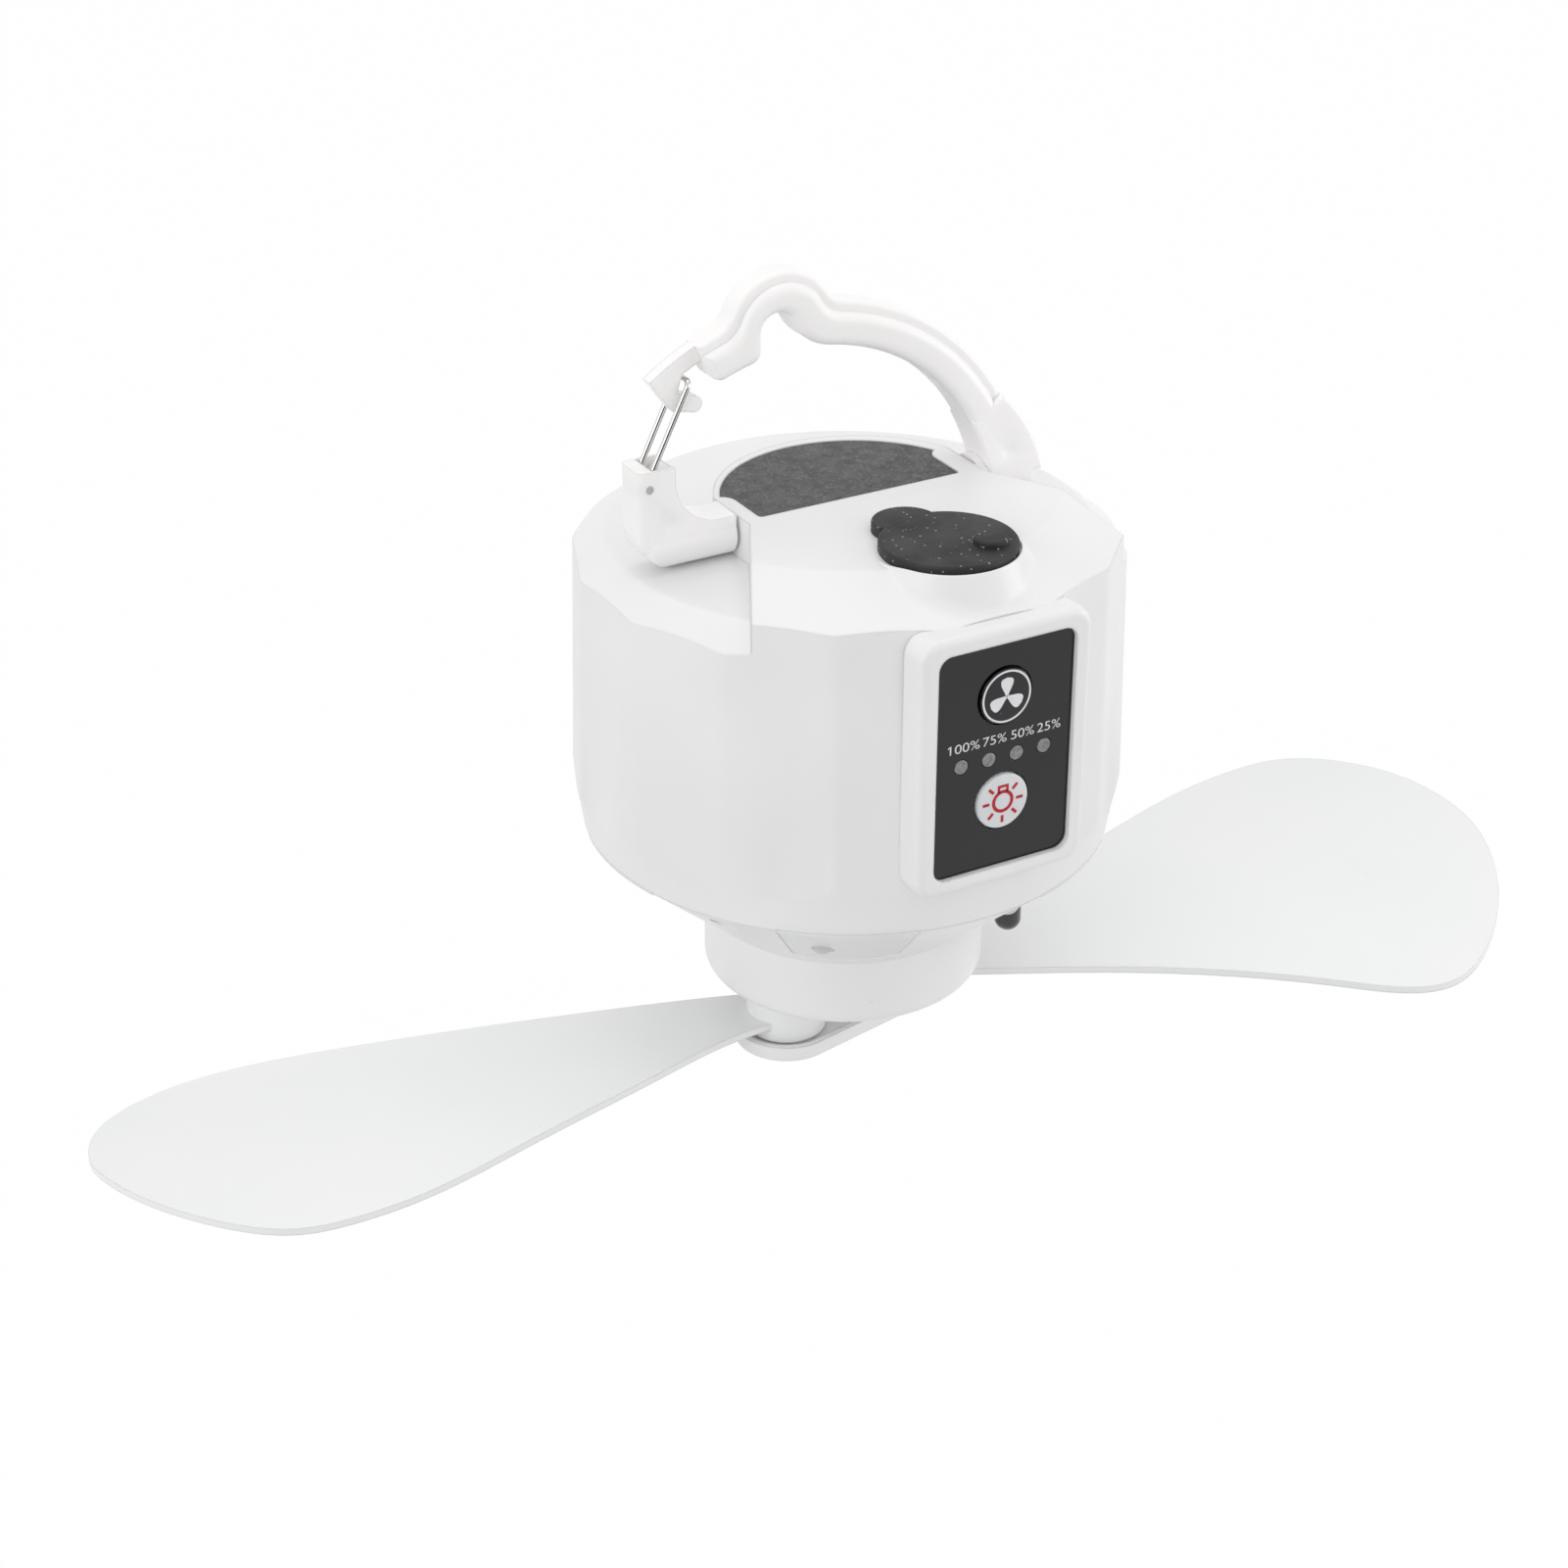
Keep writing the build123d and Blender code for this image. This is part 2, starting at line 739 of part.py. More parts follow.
left_side = make_face(
    [
        Line((-block_outer, hinge_z), (-block_outer, block_top)),
        Line((-block_outer, block_top), (-block_inner, block_top)),
        Line((-block_inner, block_top), (-block_inner, hinge_z + barrel_r + block_curve)),
        RadiusArc(
            (-block_inner, hinge_z + barrel_r + block_curve),
            (-block_inner + block_curve, hinge_z + barrel_r),
            -block_curve,
        ),
        Line((-block_inner + block_curve, hinge_z + barrel_r), (-barrel_inner, hinge_z + barrel_r)),
        Line((-barrel_inner, hinge_z + barrel_r), (-barrel_inner, hinge_z)),
        Line((-barrel_inner, hinge_z), (-block_outer, hinge_z)),
    ]
)
right_side = make_face(
    [
        Line((barrel_inner, hinge_z), (barrel_inner, hinge_z + barrel_r)),
        Line((barrel_inner, hinge_z + barrel_r), arch_point(right_angle, arch_in)),
        Line(arch_point(right_angle, arch_in), arch_point(right_angle, arch_r)),
        ThreePointArc(
            arch_point(right_angle, arch_r),
            arch_point(flare_angle, arch_r + flare_out),
            (right_outer, hinge_z),
        ),
        Line((right_outer, hinge_z), (barrel_inner, hinge_z)),
    ]
)
right_side -= Pos(arch_x, arch_z) * Circle(arch_in)


def on_side(face):
    return Plane.XZ * face


def barrel(x_low, x_high):
    lying = Pos((x_low + x_high) / 2, 0, hinge_z) * Rot(0, 90, 0)
    return lying * Cylinder(barrel_r, x_high - x_low)


def softened(piece, radius):
    # the same piece with the edges of its front and back faces rounded
    faces = piece.faces().sort_by(Axis.Y)
    return fillet(faces[0].edges() + faces[-1].edges(), radius)


handle = softened(across(on_side(body_side), arch_depth / 2), body_round)
handle += softened(across(on_side(rim_side), flange_depth / 2), rim_round)
handle += across(on_side(nose_side), nose_depth / 2)
handle += across(on_side(hook_side), nose_depth / 2)
left_barrel = barrel(-block_outer, -barrel_inner)
right_barrel = barrel(barrel_inner, right_outer)
left_barrel = fillet(left_barrel.faces().sort_by(Axis.X)[0].edges(), barrel_round)
right_barrel = fillet(right_barrel.faces().sort_by(Axis.X)[-1].edges(), barrel_round)
foot = across(on_side(left_side), block_depth / 2)
foot = fillet(foot.edges().filter_by(Axis.Z).group_by(Axis.X)[0], block_corner_r)
foot += left_barrel
foot_low = hinge_z - barrel_r
foot_corner = make_face(
    Polyline(
        (-block_outer - overrun, foot_low - overrun),
        (-block_outer + block_foot_r, foot_low - overrun),
        (-block_outer + block_foot_r, foot_low + block_foot_r),
        (-block_outer - overrun, foot_low + block_foot_r),
        close=True,
    )
)
foot_corner -= Pos(-block_outer + block_foot_r, foot_low + block_foot_r) * Circle(block_foot_r)
foot -= across(on_side(foot_corner), arch_depth)
right_block = softened(across(on_side(right_side), barrel_r), foot_round)
handle += right_block + right_barrel
pin_bore = along_hinge * Cylinder(pin_r + pin_clear, (pin_reach + gap_clear) * 2)
handle -= pin_bore
foot -= pin_bore


def dimple(x, face):
    out = face + dimple_ball_r - dimple_depth
    return Pos(x, -out, hinge_z + dimple_up) * Sphere(dimple_ball_r)


handle -= dimple(right_outer - dimple_right, barrel_r)
foot -= dimple(-dimple_left, block_depth / 2)

# Slot that the gate's legs turn in
gate_reach = Vector(gate_bar_x - gate_x, gate_bar_z - gate_z)
gate_lean = Vector(0, 1).get_angle(gate_reach)
slot_r = gate_eye_r + gap_clear
slot_far = block_top + block_outer - gate_z
slot_spread = wire_d / 2 + gap_clear


def gate_point(lean, along, out):
    # a point beside the line that a leg follows when it leans from the upright
    a = radians(lean)
    return (gate_x + along * sin(a) + out * cos(a), gate_z + along * cos(a) - out * sin(a))


slot_side = make_face(
    Polyline(
        gate_point(gate_lean, 0, -slot_spread),
        gate_point(gate_lean, slot_far, -slot_spread),
        gate_point(gate_lean + gate_opening, slot_far, slot_spread),
        gate_point(gate_lean + gate_opening, 0, slot_spread),
        close=True,
    )
)
slot_side += Pos(gate_x, gate_z) * Circle(slot_r)
slot_reach = make_face(
    Polyline(
        (-block_outer - overrun, hinge_z),
        (-block_outer - overrun, block_top + overrun),
        (-block_inner + overrun, block_top + overrun),
        (-block_inner + overrun, hinge_z),
        close=True,
    )
)
slot_half = wire_half + gate_eye_width / 2 + gap_clear
foot -= across(on_side(slot_side & slot_reach), slot_half)
foot -= across(on_side(Pos(gate_x, gate_z) * Circle(gate_pin_r + pin_clear)), arch_depth)

# Wire gate and the pin that it turns on
gate_path = FilletPolyline(
    (gate_x, -wire_half, gate_z),
    (gate_bar_x, -wire_half, gate_bar_z),
    (gate_bar_x, wire_half, gate_bar_z),
    (gate_x, wire_half, gate_z),
    radius=wire_half * wire_bend_share,
)
gate = sweep(Plane(gate_path @ 0, z_dir=gate_path % 0) * Circle(wire_d / 2), gate_path)
for y in (-wire_half, wire_half):
    gate += Pos(gate_x, y, gate_z) * Rot(90, 0, 0) * Cylinder(gate_eye_r, gate_eye_width)
gate -= Pos(gate_x, 0, gate_z) * Rot(90, 0, 0) * Cylinder(gate_pin_r + run_clear, arch_depth)
gate_pin = Pos(gate_x, 0, gate_z) * Rot(90, 0, 0) * Cylinder(gate_pin_r, block_depth)

# Lower shell: cone, motor boss, six window pockets
cone_rise = cone_wall * sqrt(1 + cone_slope**2)
boss_in = boss_r - cone_wall
floor_z = boss_low + motor_floor
lower_profile = [
    Line((0, 0, boss_low), (boss_r, 0, boss_low)),
    Line((boss_r, 0, boss_low), (boss_r, 0, cone_low)),
    Line((boss_r, 0, cone_low), (band_r, 0, drum_low)),
    Line((band_r, 0, drum_low), (rim_inner_r, 0, drum_low)),
    Line((rim_inner_r, 0, drum_low), (rim_inner_r, 0, cone_z(rim_inner_r) + cone_rise)),
    Line((rim_inner_r, 0, cone_z(rim_inner_r) + cone_rise), (boss_in, 0, cone_z(boss_in) + cone_rise)),
    Line((boss_in, 0, cone_z(boss_in) + cone_rise), (boss_in, 0, floor_z)),
    Line((boss_in, 0, floor_z), (0, 0, floor_z)),
    Line((0, 0, floor_z), (0, 0, boss_low)),
]
lower_face = make_face(lower_profile)
lower_bend = lower_face.vertices().sort_by_distance((boss_r, 0, boss_low))[0]
lower = revolve(fillet(lower_bend, boss_round), Axis.Z)


def cone_band(rise_low, rise_high):
    # layer that lies over the cone between two depths
    steep = sqrt(1 + cone_slope**2)
    points = []
    for r, rise in (
        (boss_r, rise_low),
        (band_r, rise_low),
        (band_r, rise_high),
        (boss_r, rise_high),
    ):
        points.append((r, cone_z(r) + rise * steep))
    return turned(points)


def window_plan(grow):
    # tapered towards the boss, with an arc for its outer edge
    spread = (window_top_half - window_foot_half) / (window_top_r - window_foot_r)
    half_far = window_top_half + grow + overrun * spread
    half_foot = window_foot_half + grow
    plan = make_face(
        Polyline(
            (-half_far, -window_top_r - overrun),
            (half_far, -window_top_r - overrun),
            (half_foot, -window_foot_r + grow),
            (-half_foot, -window_foot_r + grow),
            close=True,
        )
    )
    plan &= Circle(window_top_r + grow)
    return fillet(plan.vertices(), window_corner_r)


window_angles = [window_first + 360 / window_count * i for i in range(window_count)]
pocket = cone_band(-overrun, window_sink + window_thick)
pane_layer = cone_band(window_sink, window_sink + window_thick)
light_hole = upright(window_plan(-window_lip), boss_low, drum_low + overrun)
light_hole &= drum(rim_inner_r - window_lip, boss_low, drum_low + overrun)
pocket &= upright(window_plan(fit_clear), boss_low, drum_low + overrun)
pane_whole = pane_layer & upright(window_plan(0), boss_low, drum_low + window_rise)
lap = upright(window_plan(0), drum_low, drum_low + window_rise)
lap -= drum(window_top_r - window_lap, boss_low, drum_low + overrun)
pane_whole += lap
lap_notch = upright(window_plan(fit_clear), boss_low, drum_low + window_rise + fit_clear)
for angle in window_angles:
    upper -= Rot(0, 0, angle) * lap_notch
    lower -= Rot(0, 0, angle) * pocket
    lower -= Rot(0, 0, angle) * light_hole
lamp_places = [around(a + lamp_turn, lamp_r) for a in window_angles]
receiver_place = around(receiver_angle, receiver_r)
panes = []
for angle, place in zip(window_angles, lamp_places):
    pane = Rot(0, 0, angle) * pane_whole
    pane -= drum(lamp_d / 2 + fit_clear, boss_low, drum_low, place)
    pane -= drum(receiver_d / 2 + fit_clear, boss_low, drum_low, receiver_place)
    panes.append(pane)


def domed(radius, tip, top, place):
    # round-ended lamp body that hangs from its board
    return drum(radius, tip + radius, top, place) + Pos(place[0], place[1], tip + radius) * Sphere(
        radius
    )


lamp_tip = cone_z(lamp_r) - lamp_proud
receiver_tip = cone_z(receiver_r) - receiver_proud

# Screws that hold the two shells together
screw_seat = drum_low - screw_sink
for angle in post_angles:
    place = around(angle, post_circle_r)
    lower -= drum(screw_r + pin_clear, screw_seat - overrun, drum_low + overrun, place)
    lower -= drum(screw_head_r + fit_clear, cone_low, screw_seat, place)


def headed(radius, head_radius, head, length, seat, place):
    # screw that is driven upwards, with its head below the seat
    return drum(radius, seat, seat + length, place) + drum(head_radius, seat - head, seat, place)


# Motor on the floor of its boss, held by two screws from below
motor = drum(motor_r, floor_z, floor_z + motor_height)
motor = fillet(motor.faces().sort_by(Axis.Z)[-1].edges(), motor_round)
motor += drum(motor_bush_r, floor_z - motor_bush, floor_z)
motor -= drum(shaft_r + run_clear, floor_z - overrun, floor_z - motor_bush + shaft_bore_depth)
motor_cap = drum(motor_cap_r, floor_z + motor_height, floor_z + motor_height + motor_cap_height)
lower -= drum(motor_bush_r + fit_clear, boss_low - overrun, floor_z + overrun)
motor_screw_places = [(-motor_screw_circle, 0), (motor_screw_circle, 0)]
motor_seat = boss_low + motor_screw_head
for place in motor_screw_places:
    lower -= drum(motor_screw_r + pin_clear, boss_low - overrun, floor_z + overrun, place)
    lower -= drum(motor_screw_head_r + fit_clear, boss_low - overrun, motor_seat, place)
    motor -= drum(
        motor_screw_r + pin_clear, floor_z - overrun, motor_seat + motor_screw_length, place
    )

# Lamp board under the tray, battery tray and cells
lamp_board = drum(rim_inner_r - gap_clear, seat_z, drum_low)
lamp_board -= drum(lamp_board_inner, seat_z - overrun, drum_low + overrun)
tray = drum(band_inner_r - tray_clear, drum_low, tray_top)
saddle_width = cell_pitch + cell_d
saddle_top = tray_top + cell_lift + cell_d * saddle_rise_share
for x in (-saddle_spread / 2, saddle_spread / 2):
    tray += block(
        x - saddle_length / 2,
        x + saddle_length / 2,
        cell_y - saddle_width / 2,
        cell_y + saddle_width / 2,
        drum_low,
        saddle_top,
    )
cell_ys = (cell_y - cell_pitch / 2, cell_y + cell_pitch / 2)
for y in cell_ys:
    lying = Pos(0, y, cell_z) * Rot(0, 90, 0)
    tray -= lying * Cylinder(cell_d / 2 + fit_clear, cell_length + overrun)
for angle in post_angles:
    tray -= drum(post_r + gap_clear, drum_low - overrun, saddle_top, around(angle, post_circle_r))
tray -= drum(tray_hole_r, drum_low - overrun, tray_top + overrun, (0, -cell_d))


def cell(y, side):
    lying = Pos(0, y, cell_z) * Rot(0, 90 * side, 0)
    can = Cylinder(cell_d / 2, cell_length - cell_cap)
    can = fillet(can.edges().filter_by(GeomType.CIRCLE), cell_cap)
    return lying * (can + Pos(0, 0, cell_length / 2) * Cylinder(cell_cap_r, cell_cap))


# Rotor: shaft, racetrack hub and the pins that the blades turn on
hub_frame = Rot(0, 0, rotor_turn)
pivots = [(-pivot_r, 0), (pivot_r, 0)]
hub_plan = SlotCenterToCenter(pivot_r * 2, hub_end_r * 2)
hub = upright(hub_plan, hub_low, hub_top + hub_rim)
hub = fillet(hub.faces().sort_by(Axis.Z)[0].edges(), hub_edge_r)
hub -= upright(offset(hub_plan, -hub_rim_wide), hub_top, hub_top + overrun)
hub += drum(hub_boss_r, hub_top, knuckle_top)
shaft_top = floor_z - motor_bush + shaft_bore_depth - gap_clear
shaft_low = shaft_top - shaft_length
hub -= drum(shaft_r + pin_clear, shaft_low, knuckle_top + overrun)
pivot_seat = hub_low + pivot_recess + pivot_head
washer_low = knuckle_top - washer_sink + gap_clear
for place in pivots:
    hub -= drum(pivot_pin_r + pin_clear, hub_low - overrun, hub_top + overrun, place)
    hub -= drum(pivot_head_r + fit_clear, hub_low - overrun, pivot_seat, place)
hub = hub_frame * hub
shaft = drum(shaft_r, shaft_low, shaft_top)


def pivot_pin(place):
    pin = headed(
        pivot_pin_r, pivot_head_r, pivot_head, washer_low + washer_thick - pivot_seat, pivot_seat, place
    )
    return hub_frame * pin


def washer(place):
    ring = drum(washer_r, washer_low, washer_low + washer_thick, place)
    return hub_frame * (ring - drum(pivot_pin_r + pin_clear, knuckle_top - overrun, knuckle_top, place))


# Blade: a knuckle and a twisted, arched paddle cut to its planform
def blade_section(share):
    u = share * blade_length
    span = blade_half_chord * sheet_share
    arc_drop = blade_camber * (span / blade_half_chord) ** 2
    pitch = blade_root_pitch + (blade_tip_pitch - blade_root_pitch) * share
    half = blade_thick / 2
    outline = [
        ThreePointArc((-span, -arc_drop + half), (0, half), (span, -arc_drop + half)),
        Line((span, -arc_drop + half), (span, -arc_drop - half)),
        ThreePointArc((span, -arc_drop - half), (0, -half), (-span, -arc_drop - half)),
        Line((-span, -arc_drop - half), (-span, -arc_drop + half)),
    ]
    # drawn across the blade: local x is the chord, local y is up
    plane = Plane((u, blade_offset, blade_z), x_dir=(0, 1, 0), z_dir=(1, 0, 0))
    return plane * Rot(0, 0, pitch) * make_face(outline)


def blade_plan():
    high = []
    low = []
    for along, high_share, low_share in blade_plan_shares:
        high.append((along * blade_length, blade_offset + high_share * blade_half_chord))
        low.append((along * blade_length, blade_offset - low_share * blade_half_chord))
    low = low[-2::-1]
    rim = Spline(*high, *low)
    return make_face([rim, Line(low[-1], high[0])])


def paddle():
    sheet = loft([blade_section(s) for s in section_shares])
    sheet &= upright(blade_plan(), blade_z - blade_half_chord, blade_z + blade_half_chord)
    knuckle = drum(knuckle_r, knuckle_top - knuckle_height, knuckle_top)
    knuckle = fillet(knuckle.edges().filter_by(GeomType.CIRCLE), knuckle_round)
    piece = sheet + knuckle
    piece -= drum(pivot_pin_r + run_clear, hub_low, knuckle_top + overrun)
    piece -= drum(washer_r + gap_clear, knuckle_top - washer_sink, knuckle_top + overrun)
    return piece


pivot_x = -pivot_r * cos(radians(rotor_turn))
pivot_y = -pivot_r * sin(radians(rotor_turn))
blade = Pos(pivot_x, pivot_y) * Rot(0, 0, blade_turn) * paddle()

pieces = {
    "upper_shell": upper,
    "lower_shell": lower,
    "control_panel": panel,
    "control_board": board,
    "fan_button": button(button_ups[0]),
    "light_button": button(button_ups[1]),
    "fan_switch": switch(button_ups[0]),
    "light_switch": switch(button_ups[1]),
    "usb_socket": socket,
    "charge_board": charge_board,
    "port_cup": cup,
    "port_cover": flap,
    "port_cover_anchor": lobe,
    "blank_plate": plate,
    "hinge_pin": hinge_pin,
    "handle": handle,
    "handle_foot": foot,
    "gate_wire": gate,
    "gate_pin": gate_pin,
    "battery_tray": tray,
    "battery_cell_front": cell(cell_ys[0], 1),
    "battery_cell_back": cell(cell_ys[1], -1),
    "motor_can": motor,
    "motor_cap": motor_cap,
    "lamp_board": lamp_board,
    "ir_receiver": domed(receiver_d / 2, receiver_tip, seat_z, receiver_place),
    "motor_shaft": shaft,
    "hub": hub,
    "blade_a": blade,
    "blade_b": Rot(0, 0, 180) * blade,
}
for i, (x, up) in enumerate(led_places):
    pieces[f"indicator_{i + 1}"] = indicator(x, up)
for i in range(window_count):
    pieces[f"window_{i + 1}"] = panes[i]
    pieces[f"lamp_{i + 1}"] = domed(lamp_d / 2, lamp_tip, seat_z, lamp_places[i])
for i, angle in enumerate(post_angles):
    place = around(angle, post_circle_r)
    length = screw_length + screw_sink - gap_clear
    pieces[f"housing_screw_{i + 1}"] = headed(
        screw_r, screw_head_r, screw_head, length, screw_seat, place
    )
for i, place in enumerate(motor_screw_places):
    pieces[f"motor_screw_{i + 1}"] = headed(
        motor_screw_r, motor_screw_head_r, motor_screw_head, motor_screw_length, motor_seat, place
    )
for name, place in zip("ab", pivots):
    pieces[f"pivot_pin_{name}"] = pivot_pin(place)
    pieces[f"pivot_washer_{name}"] = washer(place)

os.makedirs("parts", exist_ok=True)
for name, piece in pieces.items():
    export_step(origin_shift * piece, f"parts/{name}.step")
print(len(pieces), "pieces")
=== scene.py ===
import bmesh
import bpy
import math
from mathutils import Matrix, Vector


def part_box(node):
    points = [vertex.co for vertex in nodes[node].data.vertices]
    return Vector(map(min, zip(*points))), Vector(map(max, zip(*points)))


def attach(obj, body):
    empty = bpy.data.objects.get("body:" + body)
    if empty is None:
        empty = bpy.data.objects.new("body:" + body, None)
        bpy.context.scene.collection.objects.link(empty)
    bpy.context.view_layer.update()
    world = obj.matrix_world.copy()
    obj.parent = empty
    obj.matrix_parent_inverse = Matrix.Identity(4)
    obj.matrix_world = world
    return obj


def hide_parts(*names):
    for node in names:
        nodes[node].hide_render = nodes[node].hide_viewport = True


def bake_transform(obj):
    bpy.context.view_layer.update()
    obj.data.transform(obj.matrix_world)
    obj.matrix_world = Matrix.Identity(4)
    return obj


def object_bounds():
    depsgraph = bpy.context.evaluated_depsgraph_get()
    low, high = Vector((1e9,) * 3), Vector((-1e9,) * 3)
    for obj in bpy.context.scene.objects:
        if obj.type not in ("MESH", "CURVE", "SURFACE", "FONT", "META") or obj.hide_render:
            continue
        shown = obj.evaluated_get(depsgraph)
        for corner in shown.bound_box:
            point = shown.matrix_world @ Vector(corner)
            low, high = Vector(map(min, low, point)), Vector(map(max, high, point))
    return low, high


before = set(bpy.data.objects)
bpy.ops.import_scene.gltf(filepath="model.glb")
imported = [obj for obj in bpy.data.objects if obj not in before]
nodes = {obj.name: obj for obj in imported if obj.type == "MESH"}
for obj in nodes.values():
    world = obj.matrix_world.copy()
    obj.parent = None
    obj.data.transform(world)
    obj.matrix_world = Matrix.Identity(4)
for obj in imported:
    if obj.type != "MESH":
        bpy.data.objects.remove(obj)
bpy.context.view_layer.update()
deck = Vector((0.0179, 0.0, -0.0389))  # middle of the drum's flat top
scene = bpy.context.scene
print("frame loaded with", len(nodes), "nodes")


def linear(red, green, blue):
    # a colour as a paint chart gives it, 0 to 255, turned into what the shader wants
    parts = [c / 255 for c in (red, green, blue)]
    return tuple(c / 12.92 if c < 0.04045 else ((c + 0.055) / 1.055) ** 2.4 for c in parts) + (1.0,)


def feed(node, sockets):
    # a node's inputs: a plain value is set, another node's output is linked
    for key, value in sockets.items():
        if isinstance(value, bpy.types.NodeSocket):
            node.id_data.links.new(value, node.inputs[key])
        else:
            node.inputs[key].default_value = value


def addNode(tree, kind, at, sockets=None, **settings):
    node = tree.nodes.new(kind)
    node.location = at
    for key, value in settings.items():
        setattr(node, key, value)
    feed(node, sockets or {})
    return node


def mathNode(tree, operation, at, first, second):
    return addNode(tree, "ShaderNodeMath", at, {0: first, 1: second}, operation=operation).outputs[0]


def ranged(tree, at, value, low, high):
    # 0 where the value is at low, 1 where it is at high
    sockets = {"Value": value, "From Min": low, "From Max": high}
    return addNode(tree, "ShaderNodeMapRange", at, sockets).outputs["Result"]


def startGroup(name, kind, inputs, outputs):
    # an empty node group: its tree, what it is given and where its results go
    tree = bpy.data.node_groups.new(name, kind)
    for label, socketKind, value in inputs:
        socket = tree.interface.new_socket(label, in_out="INPUT", socket_type="NodeSocket" + socketKind)
        if value is not None:
            socket.default_value = value
    for label, socketKind in outputs:
        tree.interface.new_socket(label, in_out="OUTPUT", socket_type="NodeSocket" + socketKind)
    given = addNode(tree, "NodeGroupInput", (-800, 0)).outputs
    return tree, given, addNode(tree, "NodeGroupOutput", (900, 0))


# fine moulded grain and broad cloudiness
grainGroup, given, leave = startGroup(
    "mouldGrain",
    "ShaderNodeTree",
    [("Position", "Vector", None), ("Grain", "Float", 2200.0), ("Mottle", "Float", 45.0)],
    [("Height", "Float"), ("Tone", "Float")],
)
sockets = {"Vector": given["Position"], "Scale": given["Grain"], "Detail": 3.0, "Roughness": 0.6}
fine = addNode(grainGroup, "ShaderNodeTexNoise", (-300, 150), sockets)
sockets = {"Vector": given["Position"], "Scale": given["Mottle"], "Detail": 2.0, "Roughness": 0.5}
broad = addNode(grainGroup, "ShaderNodeTexNoise", (-300, -150), sockets)
tone = ranged(grainGroup, (0, -150), broad.outputs["Fac"], 0.3, 0.7)
feed(leave, {"Height": fine.outputs["Fac"], "Tone": tone})

# scattered specks, such as dust on rubber or flecks in a moulding
speckGroup, given, leave = startGroup(
    "settledSpecks",
    "ShaderNodeTree",
    [
        ("Position", "Vector", None),
        ("Cells", "Float", 900.0),
        ("Share", "Float", 0.15),
        ("Size", "Float", 0.25),
    ],
    [("Mask", "Float")],
)
sockets = {"Vector": given["Position"], "Scale": given["Cells"]}
cells = addNode(speckGroup, "ShaderNodeTexVoronoi", (-500, 0), sockets)
chance = addNode(speckGroup, "ShaderNodeSeparateColor", (-250, -150), {0: cells.outputs["Color"]})
chosen = mathNode(speckGroup, "LESS_THAN", (0, -150), chance.outputs[0], given["Share"])
core = mathNode(speckGroup, "MULTIPLY", (-250, 150), given["Size"], 0.45)
disc = ranged(speckGroup, (0, 150), cells.outputs["Distance"], given["Size"], core)
feed(leave, {"Mask": mathNode(speckGroup, "MULTIPLY", (300, 0), disc, chosen)})

# edges that hands and tools have rubbed
edgeGroup, given, leave = startGroup(
    "rubbedEdge",
    "ShaderNodeTree",
    [("Position", "Vector", None), ("Reach", "Float", 0.0006), ("Patch", "Float", 180.0)],
    [("Mask", "Float")],
)
eased = addNode(edgeGroup, "ShaderNodeBevel", (-500, 150), {"Radius": given["Reach"]}, samples=6)
surface = addNode(edgeGroup, "ShaderNodeNewGeometry", (-500, -50))
sockets = {0: eased.outputs["Normal"], 1: surface.outputs["Normal"]}
facing = addNode(edgeGroup, "ShaderNodeVectorMath", (-250, 100), sockets, operation="DOT_PRODUCT")
onEdge = ranged(edgeGroup, (0, 100), facing.outputs["Value"], 0.98, 0.75)
sockets = {"Vector": given["Position"], "Scale": given["Patch"], "Detail": 3.0}
patches = addNode(edgeGroup, "ShaderNodeTexNoise", (-250, -200), sockets)
patchy = ranged(edgeGroup, (0, -200), patches.outputs["Fac"], 0.4, 0.65)
feed(leave, {"Mask": mathNode(edgeGroup, "MULTIPLY", (300, 0), onEdge, patchy)})

# hairline scuffs that run one way
scuffGroup, given, leave = startGroup(
    "hairScuff",
    "ShaderNodeTree",
    [("Position", "Vector", None), ("Fine", "Float", 60.0), ("Stretch", "Vector", (1.0, 16.0, 22.0))],
    [("Mask", "Float")],
)
sockets = {0: given["Position"], 1: given["Stretch"]}
drawn = addNode(scuffGroup, "ShaderNodeVectorMath", (-500, 0), sockets, operation="MULTIPLY")
sockets = {"Vector": drawn.outputs["Vector"], "Scale": given["Fine"], "Detail": 2.0, "Distortion": 0.4}
lines = addNode(scuffGroup, "ShaderNodeTexNoise", (-250, 0), sockets)
feed(leave, {"Mask": ranged(scuffGroup, (0, 0), lines.outputs["Fac"], 0.58, 0.72)})
print("shader groups made")


def useGroup(tree, group, at, sockets):
    return addNode(tree, "ShaderNodeGroup", at, sockets, node_tree=group).outputs


def mixed(tree, at, share, under, over):
    # one colour laid over another by a share
    return addNode(tree, "ShaderNodeMix", at, {0: share, 6: under, 7: over}, data_type="RGBA").outputs[2]


def tint(tree, at, mask, strength, under, colour):
    # lay a colour over what is there, as far as a mask goes
    amount = mathNode(tree, "MULTIPLY", (at[0] - 180, at[1]), mask, strength)
    return mixed(tree, at, amount, under, colour)


